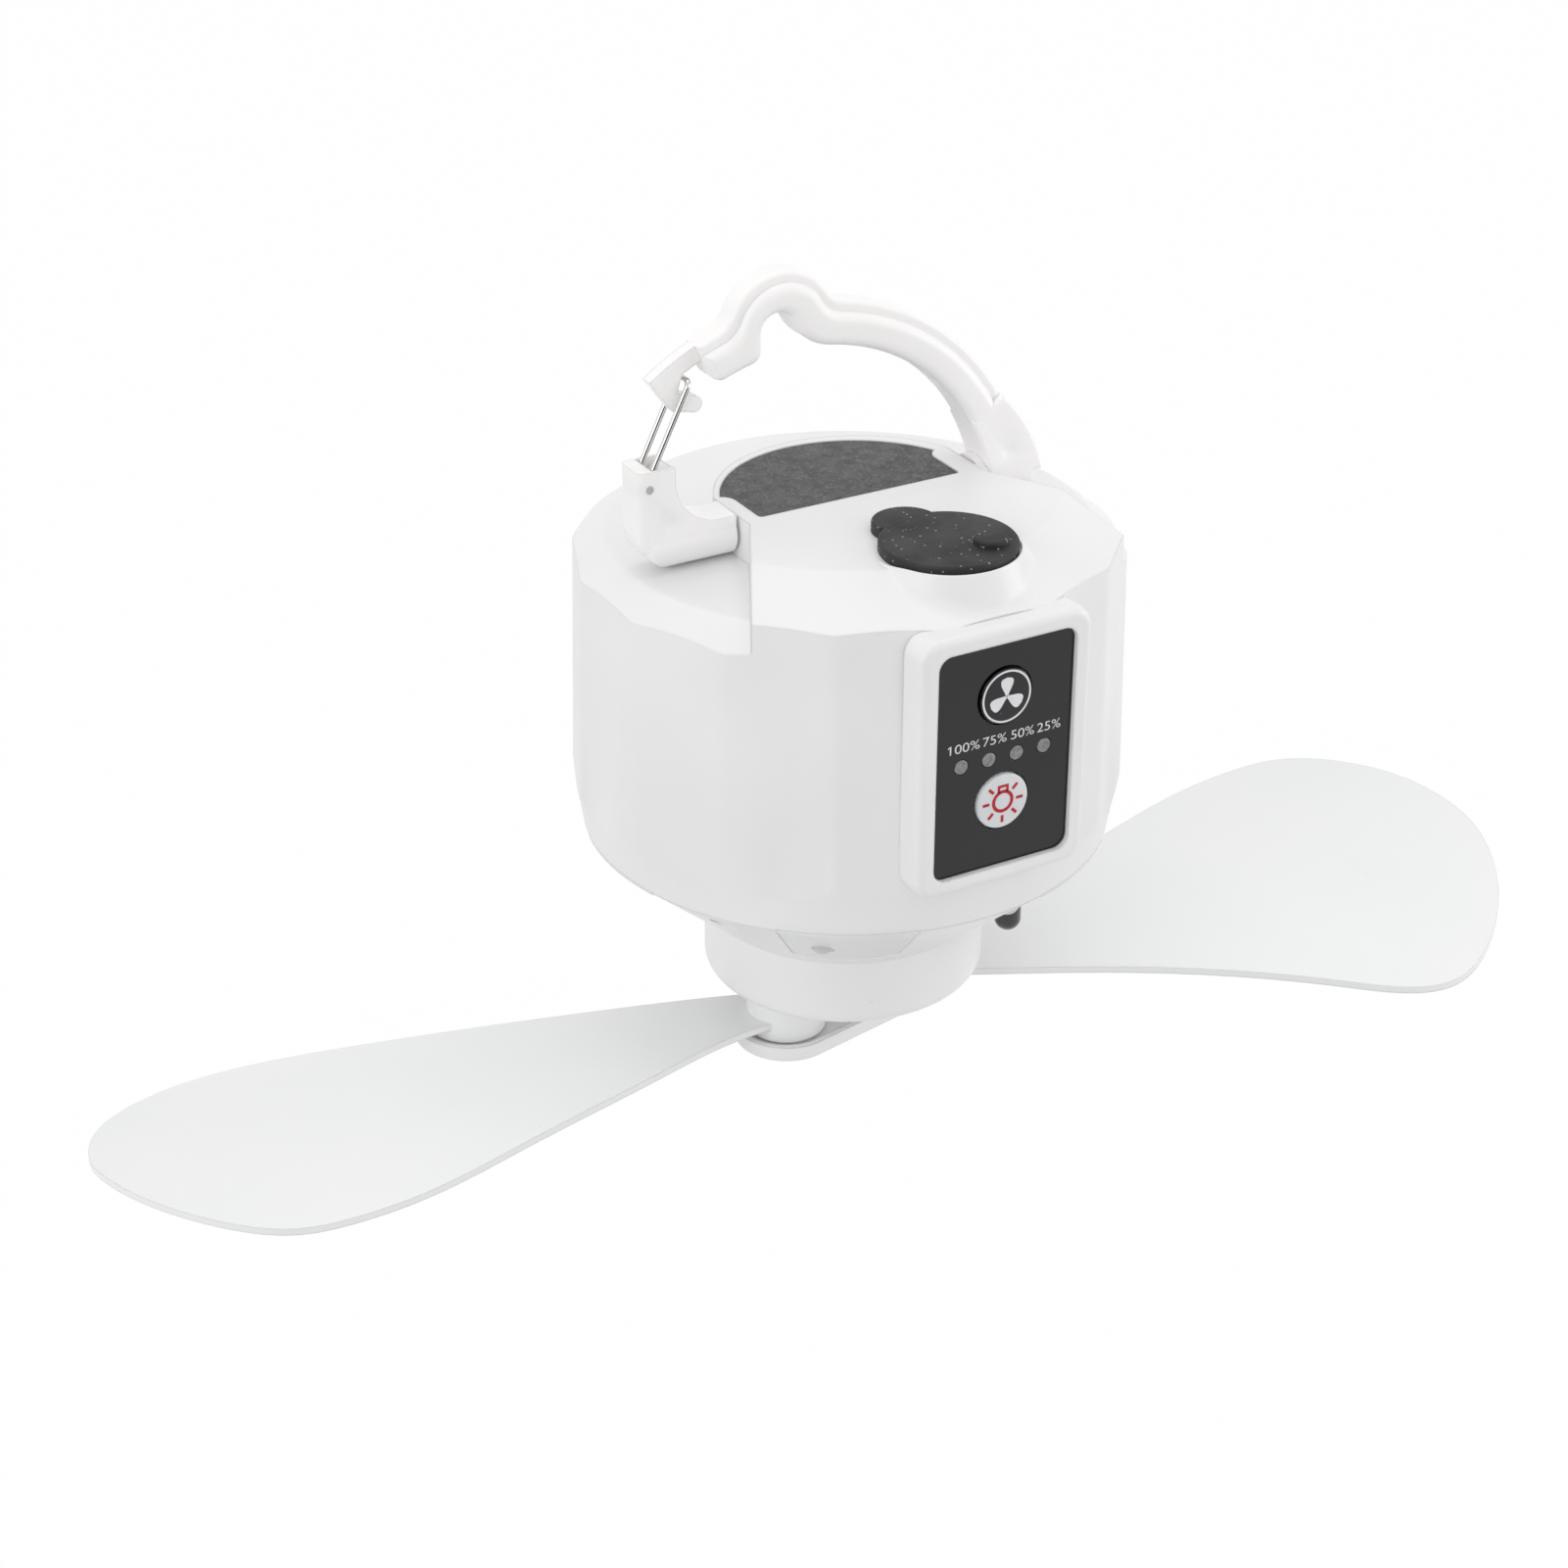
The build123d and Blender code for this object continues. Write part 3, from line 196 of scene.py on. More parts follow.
def makeFinish(name, look):
    material = bpy.data.materials.new(name)
    material.use_nodes = True
    tree = material.node_tree
    shader = tree.nodes["Principled BSDF"]
    shader.location = (900, 0)
    tree.nodes["Material Output"].location = (1200, 0)
    where = addNode(tree, "ShaderNodeTexCoord", (-1500, 0)).outputs["Object"]
    sockets = {"Position": where, "Grain": look["grain"], "Mottle": look["mottle"]}
    grain = useGroup(tree, grainGroup, (-1200, 200), sockets)
    colour = mixed(tree, (-900, 300), grain["Tone"], look["colour"], look["shade"])
    if "specks" in look:
        specks = look["specks"]
        sockets = {"Cells": specks["cells"], "Share": specks["share"], "Size": specks["size"]}
        sockets["Position"] = where
        mask = useGroup(tree, speckGroup, (-1200, -50), sockets)["Mask"]
        colour = tint(tree, (-500, 300), mask, specks["strength"], colour, specks["colour"])
    if "wear" in look:
        wear = look["wear"]
        sockets = {"Position": where, "Reach": wear["reach"], "Patch": wear["patch"]}
        mask = useGroup(tree, edgeGroup, (-1200, -300), sockets)["Mask"]
        colour = tint(tree, (-100, 300), mask, wear["strength"], colour, wear["colour"])
    low, high = look["rough"]
    sockets = {"Value": grain["Tone"], "To Min": low, "To Max": high}
    rough = addNode(tree, "ShaderNodeMapRange", (-100, 0), sockets).outputs["Result"]
    if "scuffs" in look:
        scuffs = look["scuffs"]
        sockets = {"Position": where, "Fine": scuffs["fine"], "Stretch": scuffs["stretch"]}
        mask = useGroup(tree, scuffGroup, (-1200, -550), sockets)["Mask"]
        sockets = {0: mask, 1: scuffs["strength"], 2: rough}
        dull = addNode(tree, "ShaderNodeMath", (200, -100), sockets, operation="MULTIPLY_ADD")
        dull.use_clamp = True
        rough = dull.outputs[0]
    sockets = {"Strength": look["bump"], "Distance": look["depth"], "Height": grain["Height"]}
    if look.get("soft"):
        soft = addNode(tree, "ShaderNodeBevel", (200, -400), {"Radius": look["soft"]}, samples=4)
        sockets["Normal"] = soft.outputs["Normal"]
    bump = addNode(tree, "ShaderNodeBump", (500, -300), sockets)
    feed(shader, {"Base Color": colour, "Roughness": rough, "Normal": bump.outputs["Normal"]})
    feed(shader, look["shader"])
    return material


shellLook = {
    "colour": linear(239, 239, 239), "shade": linear(236, 236, 237),
    "grain": 2600.0, "mottle": 38.0, "rough": (0.30, 0.36),
    "bump": 0.05, "depth": 0.0001, "soft": 0.0008,
    "specks": {"cells": 240.0, "share": 0.03, "size": 0.10, "strength": 0.25,
               "colour": linear(205, 203, 200)},
    "scuffs": {"fine": 40.0, "stretch": (1.0, 14.0, 20.0), "strength": 0.06},
    "shader": {"IOR": 1.49},
}
shellWhite = makeFinish("shellWhite", shellLook)
crispWhite = makeFinish("crispWhite", {**shellLook, "soft": 0.0})  # same plastic, edges as cut
bladeWhite = makeFinish("bladeWhite", {
    "colour": linear(241, 241, 241), "shade": linear(238, 239, 239),
    "grain": 1800.0, "mottle": 22.0, "rough": (0.29, 0.35),
    "bump": 0.04, "depth": 0.0001, "soft": 0.0004,
    "specks": {"cells": 160.0, "share": 0.03, "size": 0.07, "strength": 0.25,
               "colour": linear(205, 203, 200)},
    "scuffs": {"fine": 90.0, "stretch": (1.0, 18.0, 18.0), "strength": 0.03},
    "shader": {"IOR": 1.49},
})
handleMilk = makeFinish("handleMilk", {
    "colour": linear(253, 251, 251), "shade": linear(250, 249, 248),
    "grain": 1500.0, "mottle": 60.0, "rough": (0.30, 0.42),
    "bump": 0.06, "depth": 0.0001, "soft": 0.0005,
    "wear": {"reach": 0.0008, "patch": 220.0, "strength": 0.3, "colour": linear(250, 249, 248)},
    "scuffs": {"fine": 70.0, "stretch": (1.0, 6.0, 12.0), "strength": 0.10},
    "shader": {
        "IOR": 1.49,
        "Subsurface Weight": 0.2,
        "Subsurface Radius": (1.0, 0.85, 0.78),
        "Subsurface Scale": 0.0015,
    },
})
panelBlack = makeFinish("panelBlack", {
    "colour": linear(10, 10, 11), "shade": linear(7, 7, 8),
    "grain": 900.0, "mottle": 80.0, "rough": (0.08, 0.13),
    "bump": 0.012, "depth": 0.0001, "soft": 0.0002,
    "specks": {"cells": 420.0, "share": 0.05, "size": 0.09, "strength": 0.5,
               "colour": linear(120, 120, 122)},
    "scuffs": {"fine": 120.0, "stretch": (3.0, 1.0, 12.0), "strength": 0.08},
    "shader": {"IOR": 1.48},
})
capGrey = makeFinish("capGrey", {
    "colour": linear(222, 224, 226), "shade": linear(216, 218, 221),
    "grain": 2200.0, "mottle": 150.0, "rough": (0.32, 0.40),
    "bump": 0.05, "depth": 0.0001, "soft": 0.0003,
    "scuffs": {"fine": 140.0, "stretch": (4.0, 1.0, 10.0), "strength": 0.08},
    "shader": {"IOR": 1.49},
})
coverRubber = makeFinish("coverRubber", {
    "colour": linear(44, 44, 46), "shade": linear(34, 34, 36),
    "grain": 1900.0, "mottle": 130.0, "rough": (0.55, 0.72),
    "bump": 0.35, "depth": 0.00012, "soft": 0.0004,
    "specks": {"cells": 1300.0, "share": 0.11, "size": 0.34, "strength": 0.75,
               "colour": linear(178, 177, 174)},
    "wear": {"reach": 0.0007, "patch": 300.0, "strength": 0.3, "colour": linear(96, 96, 97)},
    "shader": {"IOR": 1.45},
})
plateGrey = makeFinish("plateGrey", {
    "colour": linear(72, 71, 71), "shade": linear(62, 62, 62),
    "grain": 2400.0, "mottle": 420.0, "rough": (0.42, 0.58),
    "bump": 0.2, "depth": 0.0001, "soft": 0.0001,
    "specks": {"cells": 1500.0, "share": 0.4, "size": 0.48, "strength": 0.42,
               "colour": linear(140, 139, 137)},
    "scuffs": {"fine": 80.0, "stretch": (2.0, 14.0, 1.0), "strength": 0.12},
    "shader": {"IOR": 1.48},
})
boardGreen = makeFinish("boardGreen", {
    "colour": linear(28, 104, 58), "shade": linear(20, 82, 46),
    "grain": 700.0, "mottle": 260.0, "rough": (0.30, 0.46),
    "bump": 0.12, "depth": 0.0001,
    "specks": {"cells": 360.0, "share": 0.18, "size": 0.22, "strength": 0.8,
               "colour": linear(196, 164, 92)},
    "shader": {"IOR": 1.5},
})
switchBlack = makeFinish("switchBlack", {
    "colour": linear(46, 46, 48), "shade": linear(36, 36, 38),
    "grain": 2600.0, "mottle": 300.0, "rough": (0.45, 0.6),
    "bump": 0.15, "depth": 0.0001,
    "wear": {"reach": 0.0003, "patch": 500.0, "strength": 0.4, "colour": linear(92, 92, 92)},
    "shader": {"IOR": 1.48},
})
socketSteel = makeFinish("socketSteel", {
    "colour": linear(206, 206, 204), "shade": linear(186, 186, 186),
    "grain": 1600.0, "mottle": 240.0, "rough": (0.22, 0.34),
    "bump": 0.08, "depth": 0.00005,
    "scuffs": {"fine": 160.0, "stretch": (8.0, 8.0, 1.0), "strength": 0.16},
    "shader": {"Metallic": 1.0},
})
contactGold = makeFinish("contactGold", {
    "colour": linear(226, 184, 98), "shade": linear(206, 162, 82),
    "grain": 2600.0, "mottle": 500.0, "rough": (0.20, 0.32),
    "bump": 0.06, "depth": 0.00003,
    "scuffs": {"fine": 300.0, "stretch": (8.0, 8.0, 1.0), "strength": 0.14},
    "shader": {"Metallic": 1.0},
})
screwSteel = makeFinish("screwSteel", {
    "colour": linear(196, 196, 196), "shade": linear(166, 167, 170),
    "grain": 2400.0, "mottle": 320.0, "rough": (0.24, 0.38),
    "bump": 0.08, "depth": 0.00005,
    "wear": {"reach": 0.0003, "patch": 700.0, "strength": 0.5, "colour": linear(226, 226, 226)},
    "scuffs": {"fine": 240.0, "stretch": (6.0, 1.0, 6.0), "strength": 0.14},
    "shader": {"Metallic": 1.0},
})
wireChrome = makeFinish("wireChrome", {
    "colour": linear(220, 219, 217), "shade": linear(206, 205, 204),
    "grain": 1400.0, "mottle": 260.0, "rough": (0.07, 0.13),
    "bump": 0.005, "depth": 0.00005,
    "scuffs": {"fine": 180.0, "stretch": (1.0, 10.0, 2.0), "strength": 0.16},
    "shader": {"Metallic": 1.0},
})
trayNatural = makeFinish("trayNatural", {
    "colour": linear(222, 221, 216), "shade": linear(212, 211, 206),
    "grain": 1500.0, "mottle": 50.0, "rough": (0.42, 0.52),
    "bump": 0.1, "depth": 0.0001,
    "scuffs": {"fine": 60.0, "stretch": (1.0, 10.0, 10.0), "strength": 0.08},
    "shader": {"IOR": 1.49},
})
cellWrap = makeFinish("cellWrap", {
    "colour": linear(70, 128, 176), "shade": linear(58, 112, 158),
    "grain": 500.0, "mottle": 80.0, "rough": (0.28, 0.40),
    "bump": 0.1, "depth": 0.0002,
    "scuffs": {"fine": 90.0, "stretch": (1.0, 12.0, 12.0), "strength": 0.10},
    "shader": {"IOR": 1.52},
})
motorCase = makeFinish("motorCase", {
    "colour": linear(182, 182, 180), "shade": linear(160, 160, 160),
    "grain": 1200.0, "mottle": 90.0, "rough": (0.30, 0.44),
    "bump": 0.1, "depth": 0.0001,
    "scuffs": {"fine": 120.0, "stretch": (1.0, 1.0, 20.0), "strength": 0.18},
    "shader": {"Metallic": 1.0},
})
receiverDark = makeFinish("receiverDark", {
    "colour": linear(30, 26, 30), "shade": linear(22, 20, 23),
    "grain": 900.0, "mottle": 300.0, "rough": (0.07, 0.14),
    "bump": 0.02, "depth": 0.00005,
    "scuffs": {"fine": 200.0, "stretch": (1.0, 1.0, 8.0), "strength": 0.08},
    "shader": {"IOR": 1.52, "Coat Weight": 0.4, "Coat Roughness": 0.04},
})
lensGrey = makeFinish("lensGrey", {
    "colour": linear(146, 147, 148), "shade": linear(106, 107, 108),
    "grain": 3200.0, "mottle": 1500.0, "rough": (0.29, 0.45),
    "bump": 0.25, "depth": 0.0001,
    "specks": {"cells": 1800.0, "share": 0.3, "size": 0.3, "strength": 0.4,
               "colour": linear(186, 187, 188)},
    "shader": {"IOR": 1.5},
})
windowMilk = makeFinish("windowMilk", {
    "colour": linear(230, 231, 231), "shade": linear(224, 225, 226),
    "grain": 1400.0, "mottle": 55.0, "rough": (0.16, 0.24),
    "bump": 0.05, "depth": 0.0001,
    "scuffs": {"fine": 60.0, "stretch": (1.0, 12.0, 8.0), "strength": 0.03},
    "shader": {"IOR": 1.5, "Subsurface Weight": 0.25, "Subsurface Radius": (1.0, 1.0, 1.0),
               "Subsurface Scale": 0.001},
})
lampClear = makeFinish("lampClear", {
    "colour": linear(234, 235, 234), "shade": linear(220, 221, 220),
    "grain": 700.0, "mottle": 340.0, "rough": (0.06, 0.12),
    "bump": 0.02, "depth": 0.00005,
    "scuffs": {"fine": 200.0, "stretch": (1.0, 1.0, 8.0), "strength": 0.05},
    "shader": {"IOR": 1.52, "Transmission Weight": 0.35, "Coat Weight": 0.5, "Coat Roughness": 0.04},
})
printLook = {
    "grain": 3000.0, "mottle": 700.0, "rough": (0.35, 0.5),
    "bump": 0.06, "depth": 0.00003,
    "scuffs": {"fine": 200.0, "stretch": (2.0, 1.0, 10.0), "strength": 0.08},
    "shader": {"IOR": 1.46},
}
white = {"colour": linear(232, 232, 236), "shade": linear(222, 223, 228)}
red = {"colour": linear(184, 16, 34), "shade": linear(170, 12, 28)}
printWhite = makeFinish("printWhite", {**white, **printLook})
printRed = makeFinish("printRed", {**red, **printLook})
print("finishes made")


def paint(node, material):
    # a CAD node keeps its shape and takes the finish
    mesh = nodes[node].data
    if not mesh.materials:
        mesh.materials.append(material)
    for i in range(len(mesh.materials)):
        mesh.materials[i] = material


def setDown(name, data):
    thing = bpy.data.objects.new(name, data)
    scene.collection.objects.link(thing)
    return thing


def finalMesh(thing):
    # what modifiers or letters come to, as a mesh of its own
    bpy.context.view_layer.update()
    return bpy.data.meshes.new_from_object(thing.evaluated_get(bpy.context.evaluated_depsgraph_get()))


def meshOf(work, name, crease=None):
    # worked faces as a mesh, facing outward, shaded smooth up to the crease angle if there is one
    bmesh.ops.recalc_face_normals(work, faces=work.faces)
    for face in work.faces:
        face.smooth = crease is not None
    mesh = bpy.data.meshes.new(name)
    work.to_mesh(mesh)
    work.free()
    if crease is not None:
        mesh.set_sharp_from_angle(angle=math.radians(crease))
    return mesh


def newPiece(name, mesh, material):
    mesh.materials.clear()
    mesh.materials.append(material)
    return setDown(name, mesh)


skinRules = {"weld": 0.000002, "flatBend": 0.05, "facetBend": 6.0, "noFlats": 1000000.0}


def skinOf(node, body, material, skin):
    # copy of a node with its curves shaded smooth, its flats kept and, where asked, swollen a little
    mesh = nodes[node].data.copy()
    if "custom_normal" in mesh.attributes:
        mesh.attributes.remove(mesh.attributes["custom_normal"])
    work = bmesh.new()
    work.from_mesh(mesh)
    bmesh.ops.remove_doubles(work, verts=work.verts, dist=skinRules["weld"])
    flatBend = math.radians(skinRules["flatBend"])
    bmesh.ops.dissolve_limit(work, angle_limit=flatBend, verts=work.verts, edges=work.edges, delimit=set())
    for face in work.faces:
        face.smooth = True
    flatArea = skin.get("flatArea", skinRules["noFlats"]) / 1000000  # from square millimetres
    for edge in work.edges:
        if len(edge.link_faces) == 2:
            bend = math.degrees(edge.calc_face_angle(0.0))
            flats = min(face.calc_area() for face in edge.link_faces) > flatArea
            edge.smooth = bend < skin["smooth"] and not (flats and bend > skinRules["facetBend"])
    work.normal_update()
    if "swell" in skin:
        for vert in work.verts:
            vert.co += vert.normal * vert.calc_shell_factor() * skin["swell"]
    work.to_mesh(mesh)
    work.free()
    piece = newPiece(node + "_skin", mesh, material)
    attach(piece, body)
    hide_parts(node)


skins = {
    "upper_shell": ("housing", "shell", shellWhite, {"smooth": 24.0, "flatArea": 60.0}),
    "lower_shell": ("housing", "shell", crispWhite, {"smooth": 24.0}),
    "port_cup": ("housing", "shell", shellWhite, {"smooth": 30.0}),
    "control_panel": ("housing", "panel", panelBlack, {"smooth": 30.0}),
    "fan_button": ("fan_button", "button_white", panelBlack, {"smooth": 40.0}),
    "light_button": ("light_button", "button_white", capGrey, {"smooth": 40.0}),
    "port_cover": ("port_cover", "rubber", coverRubber, {"smooth": 30.0}),
    "port_cover_anchor": ("housing", "rubber", coverRubber, {"smooth": 30.0}),
    "blank_plate": ("housing", "plate", plateGrey, {"smooth": 30.0}),
    "handle": ("handle", "handle", handleMilk, {"smooth": 35.0}),
    "handle_foot": ("handle", "handle", handleMilk, {"smooth": 35.0}),
    "gate_wire": ("gate", "wire", wireChrome, {"smooth": 40.0}),
    "hub": ("rotor", "shell", shellWhite, {"smooth": 30.0}),
    "blade_a": ("blade_a", "shell", bladeWhite, {"smooth": 30.0}),
    "blade_b": ("blade_b", "shell", bladeWhite, {"smooth": 30.0}),
    "ir_receiver": ("housing", "receiver", receiverDark, {"smooth": 40.0}),
}
windowSkin = {"smooth": 30.0, "swell": 0.00032}  # the swelling closes the seam round the pane
for i in range(1, 7):
    skins["window_%d" % i] = ("housing", "window", windowMilk, windowSkin)
    skins["lamp_%d" % i] = ("housing", "lamp", lampClear, {"smooth": 40.0})
for i in range(1, 5):
    skins["indicator_%d" % i] = ("housing", "indicator", lensGrey, {"smooth": 40.0})
for node, (body, slot, material, skin) in skins.items():
    skinOf(node, body, material, skin)
print("shells, handle and blades dressed:", len(skins))

# low rim in front of the port's cover, running out into the sloping shoulder
portRim = {
    "inner": 0.01352,
    "outer": 0.0142,
    "tall": 0.0009,
    "flat": 62.0,
    "end": 98.0,
    "steps": 112,
    "lean": 0.337,
    "deckR": 0.041,
    "fall": 0.5328,
    "lastR": 0.053,
    "sweep": 0.0022,
    "sweepSteps": 8,
    "edge": 0.00022,
    "thin": 0.00004,
    "taper": 0.0002,
    "under": 0.0006,
    "proud": 0.00005,
    "meetRounds": 12,
    "sweepShare": 0.8,
    "leastSweep": 0.00002,
    "edgeShare": 0.4,
    "edgeMid": 0.3,
    "tuck": 0.00001,
}
socketLow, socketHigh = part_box("usb_socket")
portX, portY = (socketLow.x + socketHigh.x) / 2, (socketLow.y + socketHigh.y) / 2


def shoulderDrop(across, along):
    # how far the shoulder lies below the deck at a place beside the drum's axis
    return -max(0.0, math.hypot(across - deck.x, along) - portRim["deckR"]) * portRim["fall"]


work = bmesh.new()
rows = []
for i in range(portRim["steps"] + 1):
    a = -portRim["end"] + 2 * portRim["end"] * i / portRim["steps"]
    fade = min(max((portRim["end"] - abs(a)) / (portRim["end"] - portRim["flat"]), 0.0), 1.0)
    tall = portRim["thin"] + portRim["tall"] * fade * fade * (3 - 2 * fade)
    turnX, turnY = math.sin(math.radians(a)), -math.cos(math.radians(a))
    foot, footZ = portRim["outer"], 0.0
    for k in range(portRim["meetRounds"]):  # the leaning wall meets the sloping shoulder
        footZ = shoulderDrop(portX + foot * turnX, portY + foot * turnY)
        foot = portRim["outer"] - footZ * portRim["lean"]
    room = portRim["lastR"] - math.hypot(portX + foot * turnX - deck.x, portY + foot * turnY)
    sweep = min(portRim["sweep"], room, (tall - footZ) * portRim["sweepShare"])
    sweep = max(sweep, portRim["leastSweep"])
    ease = min(portRim["edge"], tall * portRim["edgeShare"])
    mid = ease * portRim["edgeMid"]
    inside, outside = portRim["inner"], portRim["outer"] - portRim["taper"] * fade
    endR = foot + sweep
    endZ = shoulderDrop(portX + endR * turnX, portY + endR * turnY)
    base = min(footZ, endZ) - portRim["under"]
    outline = [
        (inside, base),
        (inside, tall - ease),
        (inside + mid, tall - mid),
        (inside + ease, tall),
        (outside - ease, tall),
        (outside - mid, tall - mid),
        (outside, tall - ease),
    ]
    reach = math.hypot(foot - outside, tall - ease - footZ)
    startR = foot + (outside - foot) * sweep / reach
    startZ = footZ + (tall - ease - footZ) * sweep / reach
    for k in range(portRim["sweepSteps"] + 1):
        t = k / portRim["sweepSteps"]
        r = (1 - t) ** 2 * startR + 2 * t * (1 - t) * foot + t * t * endR
        h = (1 - t) ** 2 * startZ + 2 * t * (1 - t) * footZ + t * t * endZ
        outline.append((r + portRim["proud"] * (1 - t), h + portRim["thin"] * (0.5 - t)))
    outline.append((endR - portRim["tuck"], base))
    rows.append([work.verts.new((portX + r * turnX, portY + r * turnY, deck.z + h)) for r, h in outline])
for first, second in zip(rows, rows[1:]):
    for i in range(len(first)):
        j = (i + 1) % len(first)
        work.faces.new((first[i], first[j], second[j], second[i]))
work.faces.new(rows[0])
work.faces.new(rows[-1])
piece = newPiece("port_rim", meshOf(work, "port_rim", crease=50), crispWhite)
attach(piece, "housing")
print("port rim set")

# soft web that joins the cover to its fixed lobe
coverWeb = {
    "turn": 11.5,
    "hinge": 0.0114,
    "gap": 0.0003,
    "lap": 0.0005,
    "half": 0.0062,
    "top": 0.00222,
    "thick": 0.0005,
    "sag": 0.0006,
    "sagFrom": 0.0056,
    "edge": 0.00004,
    "edgeFrom": 5,
    "edgeSteps": 2,
    "wideSteps": 32,
    "longSteps": 14,
}
turn = math.radians(coverWeb["turn"])
alongX, alongY = math.cos(turn), math.sin(turn)


def webPoint(side, out, height):
    x, y = portX + side * alongX - out * alongY, portY + side * alongY + out * alongX
    return Vector((x, y, deck.z + height))


work = bmesh.new()
first = coverWeb["hinge"] - coverWeb["lap"]
last = coverWeb["hinge"] + coverWeb["gap"] + coverWeb["lap"]
wideSteps, longSteps = coverWeb["wideSteps"], coverWeb["longSteps"]
sheets = []
for drop in (0.0, coverWeb["thick"]):
    sheet = []
    for i in range(wideSteps + 1):
        side = coverWeb["half"] * (2 * i / wideSteps - 1)
        past = max(0.0, abs(side) - coverWeb["sagFrom"])
        sag = coverWeb["sag"] * (past / coverWeb["sag"]) ** 2
        line = []
        for k in range(longSteps + 1):
            out = first + (last - first) * k / longSteps
            past = max(0.0, abs(k - longSteps / 2) - coverWeb["edgeFrom"])
            edge = coverWeb["edge"] * past / coverWeb["edgeSteps"]
            line.append(work.verts.new(webPoint(side, out, coverWeb["top"] - drop - sag - edge)))
        sheet.append(line)
    sheets.append(sheet)
for sheet in sheets:
    for i in range(wideSteps):
        for k in range(longSteps):
            work.faces.new((sheet[i][k], sheet[i + 1][k], sheet[i + 1][k + 1], sheet[i][k + 1]))
border = [(i, 0) for i in range(wideSteps)] + [(wideSteps, k) for k in range(longSteps)]
border += [(i, longSteps) for i in range(wideSteps, 0, -1)] + [(0, k) for k in range(longSteps, 0, -1)]
for n in range(len(border)):
    (i, k), (m, q) = border[n], border[(n + 1) % len(border)]
    work.faces.new((sheets[0][i][k], sheets[0][m][q], sheets[1][m][q], sheets[1][i][k]))
piece = newPiece("cover_web", meshOf(work, "cover_web", crease=50), coverRubber)
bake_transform(piece)
print("cover web joined")

inner = {
    "control_board": boardGreen,
    "charge_board": boardGreen,
    "lamp_board": boardGreen,
    "fan_switch": switchBlack,
    "light_switch": switchBlack,
    "usb_socket": socketSteel,
    "hinge_pin": screwSteel,
    "gate_pin": screwSteel,
    "motor_shaft": screwSteel,
    "pivot_washer_a": screwSteel,
    "pivot_washer_b": screwSteel,
    "battery_tray": trayNatural,
    "battery_cell_front": cellWrap,
    "battery_cell_back": cellWrap,
    "motor_can": motorCase,
    "motor_cap": motorCase,
}
for node, material in inner.items():
    paint(node, material)
print("inner pieces painted:", len(inner))

# screws with a cross recess, set out on points at the middle of their heads
screwShape = {"crown": 0.45, "skirt": 0.55, "face": 0.74, "headSides": 40, "shankSides": 24, "crease": 28}


def startShape(name, inputs):
    # a geometry group that also takes the material of what it makes
    inputs = [("Geometry", "Geometry", None), *inputs, ("Material", "Material", None)]
    return startGroup(name, "GeometryNodeTree", inputs, [("Geometry", "Geometry")])


def rod(tree, at, sides, radius, tall, start):
    # a cylinder that stands on a height
    half = mathNode(tree, "MULTIPLY", (at[0] - 150, at[1] - 150), tall, 0.5)
    middle = mathNode(tree, "ADD", (at[0], at[1] - 150), start, half)
    place = addNode(tree, "ShaderNodeCombineXYZ", (at[0] + 120, at[1] - 150), {"Z": middle})
    sockets = {"Vertices": sides, "Radius": radius, "Depth": tall}
    upright = addNode(tree, "GeometryNodeMeshCylinder", at, sockets)
    sockets = {"Geometry": upright.outputs["Mesh"], "Translation": place.outputs[0]}
    return addNode(tree, "GeometryNodeTransform", (at[0] + 250, at[1]), sockets).outputs["Geometry"]


def closeShape(tree, given, instances, leave):
    # copies made real, given their material and handed out
    real = addNode(tree, "GeometryNodeRealizeInstances", (650, 0), {0: instances})
    sockets = {"Geometry": real.outputs[0], "Material": given["Material"]}
    coat = addNode(tree, "GeometryNodeSetMaterial", (760, 0), sockets)
    feed(leave, {"Geometry": coat.outputs["Geometry"]})


screwTree, given, leave = startShape(
    "crossScrew",
    [
        ("Head Radius", "Float", 0.0024),
        ("Head Height", "Float", 0.0015),
        ("Shank Radius", "Float", 0.0014),
        ("Shank Length", "Float", 0.01),
        ("Recess Length", "Float", 0.0028),
        ("Recess Width", "Float", 0.0007),
        ("Recess Depth", "Float", 0.0008),
    ],
)
headR, headTall = given["Head Radius"], given["Head Height"]
crown = mathNode(screwTree, "MULTIPLY", (-600, 300), headTall, screwShape["crown"])
skirt = mathNode(screwTree, "MULTIPLY", (-600, 200), headTall, screwShape["skirt"])
faceR = mathNode(screwTree, "MULTIPLY", (-600, 100), headR, screwShape["face"])
sockets = {"Vertices": screwShape["headSides"], "Side Segments": 3}
dome = addNode(screwTree, "GeometryNodeMeshCone", (-350, 350), sockets)
feed(dome, {"Radius Bottom": faceR, "Radius Top": headR, "Depth": crown})
collar = rod(screwTree, (-350, 100), screwShape["headSides"], headR, skirt, crown)
shankR, shankLong = given["Shank Radius"], given["Shank Length"]
shank = rod(screwTree, (-350, -250), screwShape["shankSides"], shankR, shankLong, headTall)
bars = addNode(screwTree, "GeometryNodeJoinGeometry", (100, -500))
deep = mathNode(screwTree, "MULTIPLY", (-500, -650), given["Recess Depth"], 2.0)
for along, across in ((0, 1), (1, 0)):
    sockets = {along: given["Recess Length"], across: given["Recess Width"], 2: deep}
    barSize = addNode(screwTree, "ShaderNodeCombineXYZ", (-350, -550), sockets)
    bar = addNode(screwTree, "GeometryNodeMeshCube", (-100, -550), {"Size": barSize.outputs[0]})
    feed(bars, {0: bar.outputs["Mesh"]})
sockets = {"Mesh 1": dome.outputs["Mesh"], "Mesh 2": bars.outputs[0]}
cut = addNode(screwTree, "GeometryNodeMeshBoolean", (250, 250), sockets, operation="DIFFERENCE")
